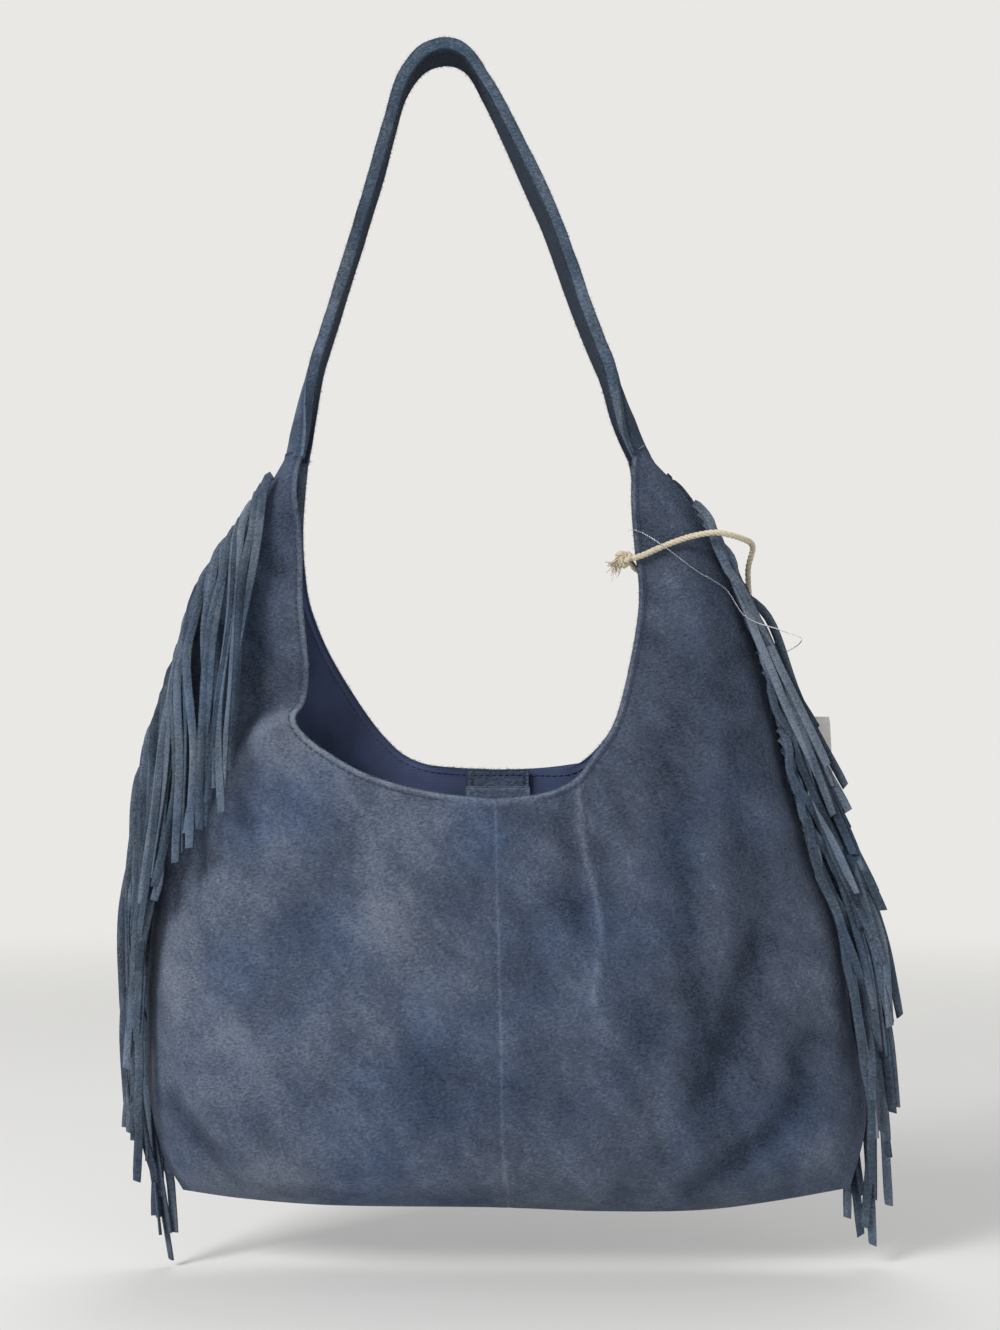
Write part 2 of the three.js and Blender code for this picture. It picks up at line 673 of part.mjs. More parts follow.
function tagTwine() {
  const { knot, points } = twineRoute();
  const loop = stringAlong(points, twineDiameter, 56);
  const knotted = new THREE.TorusKnotGeometry(twineDiameter * 0.9, twineDiameter * 0.45, 24, 6, 2, 3);
  knotted.rotateX(0.7).translate(knot.x - 1, knot.y, knot.z);
  return joined([loop, knotted]);
}

function threadRoute() {
  const room = threadDiameter / 2 + gap;
  const overTwine = room + twineDiameter + 0.9;
  return [
    beside(shoulderPoint(frontSide, 0, 41, 0), -2.5, 6, 0),
    beside(shoulderPoint(frontSide, 0, 41, 0), -2, -0.9, 0),
    shoulderPoint(frontSide, 0.06, 42, room + 0.4),
    shoulderPoint(frontSide, 0.3, 50, overTwine),
    shoulderPoint(frontSide, 0.62, 64, room + 1.4),
    shoulderPoint(frontSide, 0.85, 74, room + 7),
    beside(blackCardHole, -14, -38.5, 20),
    beside(blackCardHole, 8, -29, 13),
    beside(blackCardHole, 21, -16, 9),
    beside(blackCardHole, 14, -4, 3),
    beside(blackCardHole, 0, -2.4, 0.4),
    blackCardHole,
    beside(blackCardHole, -1, 2.6, 0.8),
    beside(blackCardHole, -10, 4, 10),
    shoulderPoint(backSide, 0.7, 78, room + 4),
    shoulderPoint(backSide, 0.35, 56, room + 2),
    beside(shoulderPoint(backSide, 0, 44, 0), -1.6, 0.8, 0),
    beside(shoulderPoint(backSide, 0, 42, 0), -5, -14, 0),
  ];
}

const tagThread = () => stringAlong(threadRoute(), threadDiameter, 52);

// A blank card with a round hole near its top edge, its middle plane upright
function tagCard({ width, height, hole }) {
  const shape = new THREE.Shape();
  const top = hole / 2 + 4;
  shape.moveTo(-width / 2, top).lineTo(-width / 2, top - height);
  shape.lineTo(width / 2, top - height).lineTo(width / 2, top).closePath();
  shape.holes.push(new THREE.Path().absarc(0, 0, hole / 2, 0, Math.PI * 2));
  const options = { depth: cardThickness, bevelEnabled: false, curveSegments: 8 };
  return new THREE.ExtrudeGeometry(shape, options).translate(0, 0, -cardThickness / 2).rotateX(Math.PI / 2);
}

function placeCard(mesh, hole, tilt, face) {
  mesh.position.copy(hole);
  mesh.rotation.set(face, tilt, 0, "YXZ");
}

const bag = new THREE.Group();

function add(name, geometry, colour, roughness, metalness = 0) {
  const material = new THREE.MeshStandardMaterial({ color: colour, roughness, metalness });
  const mesh = new THREE.Mesh(geometry, material);
  mesh.name = name;
  bag.add(mesh);
  return mesh;
}

const suedeBlue = 0x5b6f8c;
const liningBlue = 0x3b4877;
const faces = { [frontSide]: "front", [backSide]: "back" };
const sides = { [left]: "left", [right]: "right" };
for (const face of [frontSide, backSide]) {
  for (const side of [left, right]) {
    add(faces[face] + "_panel_" + sides[side], suedePanel(face, side), suedeBlue, 0.95);
  }
  add("lining_" + faces[face], lining(face), liningBlue, 0.7);
  add("snap_patch_" + faces[face], snapPatch(face), suedeBlue, 0.95);
}
add("strap", strap(), suedeBlue, 0.95);
for (const side of [left, right]) add("fringe_" + sides[side], fringe(side), suedeBlue, 0.95);
placeSnap(add("snap_stud", snapHalf(frontSide), 0xb9b4aa, 0.35, 1), frontSide);
placeSnap(add("snap_socket", snapHalf(backSide), 0xb9b4aa, 0.35, 1), backSide);
add("tag_twine", tagTwine(), 0xd8cbb0, 0.9);
add("tag_thread", tagThread(), 0xe6ecf2, 0.3);
placeCard(add("white_tag_card", tagCard(whiteCard), 0xe9e7e2, 0.6), whiteCardHole, -0.05, 0);
placeCard(add("black_tag_card", tagCard(blackCard), 0x16181c, 0.5), blackCardHole, -0.24, 0);

export default bag;
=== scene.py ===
import math

import bpy
import numpy as np
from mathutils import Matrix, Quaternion, Vector


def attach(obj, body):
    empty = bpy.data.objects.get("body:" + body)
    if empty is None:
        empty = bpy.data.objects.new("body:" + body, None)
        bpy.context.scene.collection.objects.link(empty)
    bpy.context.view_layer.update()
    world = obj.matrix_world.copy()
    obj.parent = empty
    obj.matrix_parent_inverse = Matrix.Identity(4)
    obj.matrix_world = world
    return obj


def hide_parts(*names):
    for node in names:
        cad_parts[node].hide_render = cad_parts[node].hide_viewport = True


# A soft suede shoulder bag with a comb-cut fringe, hanging by its strap.
# Shapes are worked out in millimetres and turned to metres when a mesh is made.
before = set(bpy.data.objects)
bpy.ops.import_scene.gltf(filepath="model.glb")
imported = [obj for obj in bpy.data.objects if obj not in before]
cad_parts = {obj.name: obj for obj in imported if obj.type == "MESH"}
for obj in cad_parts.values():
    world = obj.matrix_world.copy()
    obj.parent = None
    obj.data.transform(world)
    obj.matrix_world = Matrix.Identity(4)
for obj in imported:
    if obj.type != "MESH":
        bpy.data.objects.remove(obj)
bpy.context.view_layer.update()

front, back, left, right = -1, 1, -1, 1

bag = {
    "width": 405,
    "height": 420,
    "shift": 34,  # the bag's middle, right of the bearing point
    "strapDrop": 230,
    "scoopDepth": 190,
    "backRimRise": 16,
    "belly": {front: 42, back: 25},
    "round": {left: 110, right: 160},  # width over which each side swells out from its seam
    "roundBottom": 55,
    "fringeSeam": 1.0,  # half the space between the panels where the fringe strip is sewn in
    "plainSeam": 0.15,  # the same where there is no strip
    "suede": 1.4,
    "lining": 0.5,
    "liningEase": 0.9,
}
strapCut = {
    "width": 36,
    "thickness": 4.2,
    "curl": 2,
    "rollLength": 62,  # over which each end rolls up to half a tube
    "twist": {left: -3, right: 5},  # degrees, halfway up each leg
    "topTwist": -1,  # degrees more, nearer the top
    "topRoll": 6,  # degrees that the top turns on its bearing
}
halfWidth = bag["width"] / 2
tipZ = -bag["strapDrop"]
tipRadius = strapCut["width"] / math.pi


# Number and curve helpers


def mix(a, b, t):
    return a + (b - a) * t


def smoothstep(x, low, high):
    t = np.clip((x - low) / (high - low), 0, 1)
    return t * t * (3 - 2 * t)


def bump(distance, width):
    return np.exp(-((distance / width) ** 2))


def smoothThrough(points):
    xs, ys = np.array(points, float).T
    last = len(xs) - 1
    before = np.maximum(np.arange(last + 1) - 1, 0)
    after = np.minimum(np.arange(last + 1) + 1, last)
    slopes = (ys[after] - ys[before]) / (xs[after] - xs[before])

    def value(x):
        x = np.asarray(x, float)
        i = np.clip(np.searchsorted(xs, x) - 1, 0, last - 1)
        span = xs[i + 1] - xs[i]
        t = np.clip((x - xs[i]) / span, 0, 1)
        rise = slopes[i] * span * t * (1 - t) ** 2 + slopes[i + 1] * span * t * t * (t - 1)
        return ys[i] * (1 + 2 * t) * (1 - t) ** 2 + ys[i + 1] * t * t * (3 - 2 * t) + rise

    return value


def smoothLine(points, even=False, steps=24):
    p = np.array(points, float)
    ends = (p[0], p[-1]) if even else (2 * p[0] - p[1], 2 * p[-1] - p[-2])
    p = np.vstack([ends[0], p, ends[1]])
    t = np.linspace(0, 1, steps, endpoint=False)[:, None]
    line = []
    for i in range(1, len(p) - 2):
        a, b, c, d = p[i - 1 : i + 3]
        if even:
            tb, tc = (c - a) / 2, (d - b) / 2
        else:
            da, db, dc = [max(np.linalg.norm(v), 1e-6) ** 0.5 for v in (b - a, c - b, d - c)]
            tb = ((b - a) / da - (c - a) / (da + db) + (c - b) / db) * db
            tc = ((c - b) / db - (d - b) / (db + dc) + (d - c) / dc) * db
        h = t * t * (3 - 2 * t)
        line.append(b * (1 - h) + c * h + tb * t * (1 - t) ** 2 + tc * t * t * (t - 1))
    return np.vstack([*line, p[-2]])


def alongLine(line):
    steps = np.linalg.norm(np.diff(line, axis=0), axis=1)
    reached = np.concatenate([[0], np.cumsum(steps)])
    length = reached[-1]

    def place(share):
        s = np.clip(np.asarray(share, float), 0, 1) * length
        return np.stack([np.interp(s, reached, line[:, k]) for k in range(line.shape[1])], -1)

    return place, length


# Outlines as shares: height from the shoulder tips down, width in half widths from the middle
seamShares = {
    left: smoothThrough([
        (0, -0.619), (0.077, -0.719), (0.163, -0.832), (0.256, -0.885), (0.343, -0.951), (0.464, -0.982),
        (0.563, -0.979), (0.696, -1.0), (0.829, -1.0), (0.929, -0.96), (0.979, -0.904),
    ]),
    right: smoothThrough([
        (0, 0.401), (0.048, 0.495), (0.116, 0.578), (0.196, 0.65), (0.283, 0.711), (0.396, 0.766),
        (0.476, 0.81), (0.549, 0.86), (0.609, 0.915), (0.676, 0.938), (0.769, 0.962), (0.849, 0.996),
        (0.903, 0.993), (0.976, 0.954),
    ]),
}
middleShares = smoothThrough([(0.41, -0.039), (0.62, -0.028), (0.79, -0.019), (0.9, -0.016), (1, 0.005)])
bottomShares = smoothThrough([
    (-0.904, 0.021), (-0.738, 0.011), (-0.49, 0.003), (-0.02, 0), (0.257, -0.005), (0.534, -0.004),
    (0.736, 0.007), (0.954, 0.024),
])
# Rims: width in half widths, height as a share of the scoop's depth, from the tip to the middle seam
rimShares = {
    (front, left): [
        (-0.581, 0.095), (-0.564, 0.257), (-0.561, 0.435), (-0.545, 0.621), (-0.553, 0.716),
        (-0.575, 0.766), (-0.553, 0.811), (-0.49, 0.864), (-0.373, 0.932), (-0.213, 0.979),
    ],
    (front, right): [
        (0.34, 0.124), (0.348, 0.257), (0.36, 0.391), (0.351, 0.509), (0.318, 0.68), (0.285, 0.79),
        (0.235, 0.87), (0.18, 0.944), (0.091, 0.985),
    ],
    (back, left): [
        (-0.578, 0.2), (-0.572, 0.362), (-0.55, 0.492), (-0.481, 0.67), (-0.354, 0.887), (-0.241, 0.98),
    ],
    (back, right): [
        (0.368, 0.2), (0.39, 0.395), (0.379, 0.589), (0.34, 0.751), (0.279, 0.896), (0.188, 0.99),
        (0.077, 1.0),
    ],
}
# How far the bag has swelled from its shoulder tips (0) to its belly (1), by share of the height
depthShares = smoothThrough([(0, 0), (0.12, 0.13), (0.25, 0.27), (0.45, 0.54), (0.62, 0.8), (0.8, 1), (1, 1)])
roundShares = smoothThrough([(0, 0), (0.12, 0.12), (0.25, 0.25), (0.45, 0.6), (0.65, 1), (1, 1)])


def heightShare(z):
    return (tipZ - z) / bag["height"]


def seamX(side, z):
    return bag["shift"] + halfWidth * seamShares[side](heightShare(z))


def middleX(z):
    return bag["shift"] + halfWidth * middleShares(heightShare(z))


def bottomZ(x):
    return tipZ - bag["height"] * (1 - bottomShares((x - bag["shift"]) / halfWidth))


def insetSeamX(side, z, inset):
    slope = (seamX(side, z + 1) - seamX(side, z - 1)) / 2
    return seamX(side, z) - side * inset * np.hypot(1, slope)


def insetBottomZ(x, inset):
    slope = (bottomZ(x + 1) - bottomZ(x - 1)) / 2
    return bottomZ(x) + inset * np.hypot(1, slope)


def insetCorner(side, inset):
    x, z = 0.0, tipZ - bag["height"] * 0.97
    for n in range(8):
        x = float(insetSeamX(side, z, inset))
        z = float(insetBottomZ(x, inset))
    return np.array([x, z])


# The fringe's run along each side seam
fringeCut = {
    "start": 9,
    "run": 292,
    "thongs": 52,
    "width": 5.0,
    "thickness": 1.25,
    "length": 165,
    "lengthStray": 0.022,  # as a share of the length
    "tipStray": 3.2,
    "behindLonger": 8,
    "lift": 1.1,  # how far a thong hangs in front of the bag, at its root
    "liftByDrop": 0.07,
    "stack": 1.7,  # from one thong of a stack of four to the next
    "loose": (-0.6, 3.4),
    "turn": (16, 34),  # degrees: for the whole thong, and growing towards its tip
    "cup": (0.25, 0.22),
    "slant": 0.22,  # of the cut across the tip, as a share of the width
    "toneStray": 0.17,
}


def seamLine(side):
    z = np.linspace(tipZ, tipZ - bag["height"] * 0.94, 240)
    place, length = alongLine(np.stack([seamX(side, z), z], -1))
    return lambda distance: place(np.asarray(distance, float) / length)


seamAt = {side: seamLine(side) for side in (left, right)}
fringeEndZ = seamAt[left](fringeCut["start"] + fringeCut["run"])[1]


def swell(distance, reach):
    t = np.clip(1 - distance / reach, 0, 1)
    return np.sqrt(1 - t * t)


def wallY(face, x, z, inset=0.0, depth=0.0):
    share = heightShare(z)
    full = mix(tipRadius, bag["belly"][face], depthShares(share))
    sides = 1
    for side, gone in ((left, x - insetSeamX(left, z, inset)), (right, insetSeamX(right, z, inset) - x)):
        sides = sides * swell(gone, mix(tipRadius, bag["round"][side], roundShares(share)) - inset)
    seamRoom = mix(bag["fringeSeam"], bag["plainSeam"], smoothstep(fringeEndZ - z, 4, 24))
    room = bag["plainSeam"] if inset > 7 else seamRoom
    out = full - depth + seamRoom - room
    return face * (room + out * sides * swell(z - insetBottomZ(x, inset), bag["roundBottom"] - inset))


def rimLine(face, side):
    lowest = scoopZ(face)
    tip = (seamX(side, tipZ) - side * tipRadius, tipZ)
    middle = [(bag["shift"] + halfWidth * x, mix(tipZ, lowest, z)) for x, z in rimShares[face, side]]
    return smoothLine([tip, *middle, (middleX(lowest), lowest)], even=True)


def scoopZ(face):
    return tipZ - bag["scoopDepth"] + (bag["backRimRise"] if face == back else 0)


# Folds and unevenness of the hanging suede, in millimetres outwards from the plain shape


def unevenness(x, z, size, seed):
    lattice = np.random.default_rng(seed).uniform(-1, 1, (64, 64))
    u, v = x / size + 31.7, z / size + 57.3
    i, j = np.floor(u).astype(int), np.floor(v).astype(int)
    s, t = u - i, v - j
    s, t = s**3 * (s * (6 * s - 15) + 10), t**3 * (t * (6 * t - 15) + 10)
    corner = lambda a, b: lattice[(i + a) % 64, (j + b) % 64]
    return mix(mix(corner(0, 0), corner(1, 0), s), mix(corner(0, 1), corner(1, 1), s), t)


def distanceTo(x, z, line):
    points = np.stack([np.ravel(x), np.ravel(z)], -1)
    best = np.full(len(points), 1e9)
    signed = np.zeros(len(points))
    for a, b in zip(line[:-1], line[1:]):
        along = b - a
        length = max(np.hypot(*along), 1e-9)
        t = np.clip(((points - a) @ along) / length**2, 0, 1)
        offset = points - a - t[:, None] * along
        far = np.hypot(offset[:, 0], offset[:, 1])
        side = (along[0] * offset[:, 1] - along[1] * offset[:, 0]) / length
        nearer = far < best
        best = np.where(nearer, far, best)
        signed = np.where(nearer, np.where(side >= 0, far, -far), signed)
    return best.reshape(np.shape(x)), signed.reshape(np.shape(x))


folds = {
    "shoulderFold": [(-83, -374), (-101, -380), (-115, -396), (-122, -412), (-129, -424), (-131, -440)],
    "crease": [(73, -413), (73, -432), (77, -453), (82, -478), (84, -497), (82, -514), (80, -530)],
    "creaseTop": [(75, -420), (80, -436), (76, -448)],
    "creaseBeside": [(76, -420), (81, -440), (89, -466), (93, -490)],
    # Each valley: its line, depth and width, and how much painted shade its tone gets along it
    "valleys": [
        ([(-153, -586), (-137, -605), (-119, -632)], 4.0, 9, 0.1),
        ([(172, -502), (164, -519), (154, -553), (143, -581)], 5.2, 8, 0.13),
        ([(198, -556), (193, -585), (162, -615), (136, -637)], 4.0, 9, 0.08),
        ([(124, -438), (133, -477), (136, -522), (140, -567)], 2.8, 12, 0.1),
        ([(63, -430), (70, -452), (73, -494)], 2.0, 8, 0.07),
        ([(160, -430), (168, -462), (172, -500)], 1.8, 12, 0.05),
        ([(-60, -440), (-75, -475), (-84, -520)], 1.8, 18, 0.05),
        ([(-118, -300), (-112, -335), (-104, -365)], 2.0, 12, 0.05),
        ([(-96, -246), (-93, -268), (-94, -294)], 2.2, 12, 0.14),
    ],
    "ridges": [
        ([(150, -470), (140, -520), (126, -570)], 1.8, 15),
        ([(-140, -470), (-146, -520), (-140, -570)], 1.4, 14),
        ([(128, -300), (138, -340), (146, -390), (150, -440)], 1.8, 12),
    ],
}


def foldLine(points):
    return smoothLine(points, steps=6)


def reliefOf(face, x, z):
    seed = 5 if face == front else 9
    big = 2.3 * unevenness(x + 0.3 * z, z, 76, seed) + 1.0 * unevenness(x, z - 0.2 * x, 34, seed + 1)
    fine = 0.28 * unevenness(x, z, 11, seed + 2) + 0.1 * unevenness(x, z, 4.5, seed + 3)
    relief = big + fine
    if face == front:
        far, signed = distanceTo(x, z, foldLine(folds["shoulderFold"]))
        above = np.where(signed < 0, 1, 0)
        relief += 3.6 * bump(signed - 2, 9) * bump(np.maximum(far - np.abs(signed), 0), 8)
        relief -= 4.2 * above * bump(far, 34) * smoothstep(far, 0, 7)
        relief += 2.0 * bump(distanceTo(x, z, foldLine(folds["crease"]))[0], 3.0)
        relief -= 1.2 * bump(distanceTo(x, z, foldLine(folds["creaseBeside"]))[0], 7)
        for line, deep, wide, dark in folds["valleys"]:
            relief -= deep * bump(distanceTo(x, z, foldLine(line))[0], wide)
        for line, high, wide in folds["ridges"]:
            relief += high * bump(distanceTo(x, z, foldLine(line))[0], wide)
    fromSides = np.minimum(x - seamX(left, z), seamX(right, z) - x)
    fromEdge = np.minimum(fromSides, z - bottomZ(x))
    calm = smoothstep(fromEdge, 0, 26) * smoothstep(tipZ - z, 4, 60)
    seamGap = np.abs(x - middleX(z))
    below = smoothstep(scoopZ(face) - z, -1, 2)
    pucker = 1 + 0.5 * unevenness(x * 0.2, z, 5.5, seed + 7)
    groove = -0.35 * bump(seamGap, 0.8) * pucker + 0.4 * bump(seamGap - 4.5, 2.6) * pucker
    side = -0.6 * bump(fromSides - 3.2, 2.0) * (1 + 0.6 * unevenness(z, z * 0, 6, seed + 8))
    return relief * calm + below * groove + side * smoothstep(tipZ - z, 2, 12)


def rimRelief(x, z, rimFar):
    scallop = 0.5 + 0.5 * np.cos((x + z) * 2 * math.pi / 3.4)
    return 0.7 * bump(rimFar - 1.6, 1.7) - 0.4 * bump(rimFar - 3.5, 0.9) * (0.6 + 0.4 * scallop)


# Mesh helpers


def meshPiece(name, points, faces, material, smooth=True, tone=None):
    mesh = bpy.data.meshes.new(name)
    points = np.asarray(points, float) * 0.001
    mesh.vertices.add(len(points))
    mesh.vertices.foreach_set("co", points.ravel())
    sizes = np.array([len(f) for f in faces])
    corners = np.concatenate([np.asarray(f) for f in faces])
    mesh.loops.add(len(corners))
    mesh.loops.foreach_set("vertex_index", corners.astype(np.int32))
    mesh.polygons.add(len(sizes))
    mesh.polygons.foreach_set("loop_start", np.concatenate([[0], np.cumsum(sizes)[:-1]]).astype(np.int32))
    mesh.polygons.foreach_set("use_smooth", np.full(len(sizes), smooth))
    mesh.update(calc_edges=True)
    mesh.validate()
    if tone is not None:
        attribute = mesh.attributes.new("tone", "FLOAT", "POINT")
        attribute.data.foreach_set("value", np.asarray(tone, np.float32))
    mesh.materials.append(material)
    made = bpy.data.objects.new(name, mesh)
    bpy.context.scene.collection.objects.link(made)
    return made


def belongs(piece, slotName, *nodes):
    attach(piece, "root")
    if nodes:
        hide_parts(*nodes)
    return piece


def gridFaces(rows, columns, start=0, closed=False):
    across = columns if closed else columns - 1
    r, c = np.meshgrid(np.arange(rows - 1), np.arange(across), indexing="ij")
    a = start + r * columns + c
    b = start + r * columns + (c + 1) % columns
    return np.stack([a, a + columns, b + columns, b], -1).reshape(-1, 4)


def closedRings(rows, sides):
    caps = [tuple(range(sides))[::-1], tuple(range((rows - 1) * sides, rows * sides))]
    return gridFaces(rows, sides, closed=True), caps


def volumeOf(points, faces):
    a, b, c, d = [points[faces[:, k]] for k in range(4)]
    cross = lambda p, q, r: np.einsum("ij,ij->i", p, np.cross(q, r)).sum()
    return cross(a, b, c) + cross(a, c, d)


# A sheet from its two sides, closed by an edge that bulges a little
def thickSheet(outer, inner, bulge=0.4, rings=3):
    rows, columns = outer.shape[:2]
    count = rows * columns
    index = np.arange(count).reshape(rows, columns)
    loop = np.concatenate([index[0], index[1:, -1], index[-1, -2::-1], index[-2:0:-1, 0]])
    inward = index.copy()
    inward[0], inward[-1] = index[1], index[-2]
    inward[1:-1, 0], inward[1:-1, -1] = index[1:-1, 1], index[1:-1, -2]
    flat, under = outer.reshape(-1, 3), inner.reshape(-1, 3)
    away = flat[loop] - flat[inward.ravel()[loop]]
    away /= np.maximum(np.linalg.norm(away, axis=1, keepdims=True), 1e-9)
    points = [flat, under]
    faces = [gridFaces(rows, columns), gridFaces(rows, columns, count)[:, ::-1]]
    last, edge = loop, len(loop)
    for n in range(1, rings + 2):
        here = 2 * count + (n - 1) * edge + np.arange(edge)
        if n <= rings:
            t = n / (rings + 1)
            points.append(mix(flat[loop], under[loop], t) + away * bulge * math.sin(math.pi * t))
        else:
            here = loop + count
        faces.append(np.stack([last, here, np.roll(here, -1), np.roll(last, -1)], -1))
        last = here
    return np.vstack(points), np.vstack(faces)


def facingOut(points, faces):
    return faces if volumeOf(points, faces) > 0 else faces[:, ::-1]


def framesAlong(line):
    tangent = np.gradient(line, axis=0)
    tangent /= np.linalg.norm(tangent, axis=1, keepdims=True)
    normal = np.cross(tangent[0], (0.3, 0.2, 0.93))
    normals = []
    for t in tangent:
        normal = normal - t * (normal @ t)
        normal = normal / np.linalg.norm(normal)
        normals.append(normal)
    normals = np.array(normals)
    return normals, np.cross(tangent, normals)


def tubeAlong(line, radius, sides):
    line = np.asarray(line, float)
    normals, across = framesAlong(line)
    angle = (np.arange(sides) * 2 * math.pi / sides)[None, :, None]
    ring = np.cos(angle) * normals[:, None] + np.sin(angle) * across[:, None]
    points = (line[:, None] + ring * np.broadcast_to(radius, len(line))[:, None, None]).reshape(-1, 3)
    top = len(points)
    first, last = np.arange(sides), (len(line) - 1) * sides + np.arange(sides)
    faces = [tuple(f) for f in gridFaces(len(line), sides, closed=True)]
    faces += [(top, b, a) for a, b in zip(first, np.roll(first, -1))][::-1]
    faces += [(top + 1, a, b) for a, b in zip(last, np.roll(last, -1))]
    return np.vstack([points, line[[0, -1]]]), faces


# Fibres worked loose at the cut edges, drawn a little thick so that they show
fibreLook = {"aMillimetre": 5, "long": 1.3, "radius": 0.09, "stray": 0.55, "band": 0.3, "sunk": 0.5}


def looseFibres(line, outs, seed):
    look = fibreLook
    chance = np.random.default_rng(seed)
    lengths = np.concatenate([[0], np.cumsum(np.linalg.norm(np.diff(line, axis=0), axis=1))])
    count = int(lengths[-1] * look["aMillimetre"])
    at = chance.uniform(0, lengths[-1], count)
    base = np.stack([np.interp(at, lengths, line[:, k]) for k in range(3)], -1)
    out = np.stack([np.interp(at, lengths, outs[:, k]) for k in range(3)], -1)
    base = base + chance.normal(0, look["band"], base.shape) - out * look["sunk"]
    way = out + chance.normal(0, look["stray"], out.shape)
    way /= np.linalg.norm(way, axis=1, keepdims=True)
    tip = base + way * (look["sunk"] + look["long"] * chance.uniform(0.3, 1.3, (count, 1)))
    a = np.cross(way, (0.3, 0.5, 0.8))
    a /= np.linalg.norm(a, axis=1, keepdims=True)
    b = np.cross(way, a)
    thirds = [0, 2.094, 4.189]
    rings = [base + look["radius"] * (a * math.cos(t) + b * math.sin(t)) for t in thirds]
    points = np.stack([*rings, tip], 1).reshape(-1, 3)
    faces = []
    for k in range(0, 4 * count, 4):
        faces += [(k, k + 1, k + 3), (k + 1, k + 2, k + 3), (k + 2, k, k + 3), (k + 2, k + 1, k)]
    return points, faces


def gathered(parts):
    points, faces, start = [], [], 0
    for p, f in parts:
        points.append(p)
        faces += [tuple(int(k) + start for k in face) for face in f]
        start += len(p)
    return np.vstack(points), faces


# Materials


def colourOf(hexText):
    channels = [int(hexText[i : i + 2], 16) / 255 for i in (1, 3, 5)]
    return tuple(c / 12.92 if c <= 0.04045 else ((c + 0.055) / 1.055) ** 2.4 for c in channels) + (1.0,)


def addNode(tree, kind, inputs=None, **settings):
    made = tree.nodes.new(kind)
    for name, value in settings.items():
        setattr(made, name, value)
    for name, value in (inputs or {}).items():
        if isinstance(value, bpy.types.NodeSocket):
            tree.links.new(value, made.inputs[name])
        else:
            made.inputs[name].default_value = value
    return made


def newMaterial(name):
    material = bpy.data.materials.new(name)
    material.use_nodes = True
    tree = material.node_tree
    tree.nodes.clear()
    shader = addNode(tree, "ShaderNodeBsdfPrincipled")
    addNode(tree, "ShaderNodeOutputMaterial", {"Surface": shader.outputs[0]})
    place = addNode(tree, "ShaderNodeTexCoord").outputs["Object"]
    return material, tree, shader, place


def noiseOf(tree, place, size, detail=2, stretch=None, turn=0.0, rough=0.5):
    if stretch or turn:
        mapped = addNode(tree, "ShaderNodeMapping", {"Vector": place, "Rotation": (0, turn, 0)})
        scaled = addNode(
            tree, "ShaderNodeMapping", {"Vector": mapped.outputs[0], "Scale": stretch or (1, 1, 1)}
        )
        place = scaled.outputs[0]
    inputs = {"Vector": place, "Scale": 1000 / size, "Detail": detail, "Roughness": rough}
    return addNode(tree, "ShaderNodeTexNoise", inputs).outputs[0]


def weighed(tree, parts, base=0.0):
    total = None
    for value, weight in parts:
        add = base if total is None else total
        inputs = {0: value, 1: weight, 2: add}
        total = addNode(tree, "ShaderNodeMath", inputs, operation="MULTIPLY_ADD").outputs[0]
    return total


def rampOf(tree, value, stops):
    made = addNode(tree, "ShaderNodeValToRGB", {"Fac": value})
    while len(made.color_ramp.elements) < len(stops):
        made.color_ramp.elements.new(0.5)
    for element, (at, hexText) in zip(made.color_ramp.elements, stops):
        element.position = at
        element.color = colourOf(hexText)
    return made.outputs[0]


def bumpOf(tree, height, distance, strength=1.0, under=None):
    inputs = {"Height": height, "Distance": distance * 0.001, "Strength": strength}
    if under:
        inputs["Normal"] = under
    return addNode(tree, "ShaderNodeBump", inputs).outputs[0]


# Split suede, dyed blue and brushed: matt, with clouds where the nap lies one way or the other,
# a fine grain of fibres and a soft pale sheen at grazing angles
suedeLook = {
    "dark": "#293343",
    "middle": "#555f72",
    "light": "#8f98a8",
    "blue": "#4a638c",  # where the dye sits deeper
    "cloud": 62,
    "brushMark": 15,
    "grain": 1.2,  # the nap itself is finer than the picture shows, so it is drawn this coarse
    "fibre": 0.8,
    "sheen": 0.1,
}


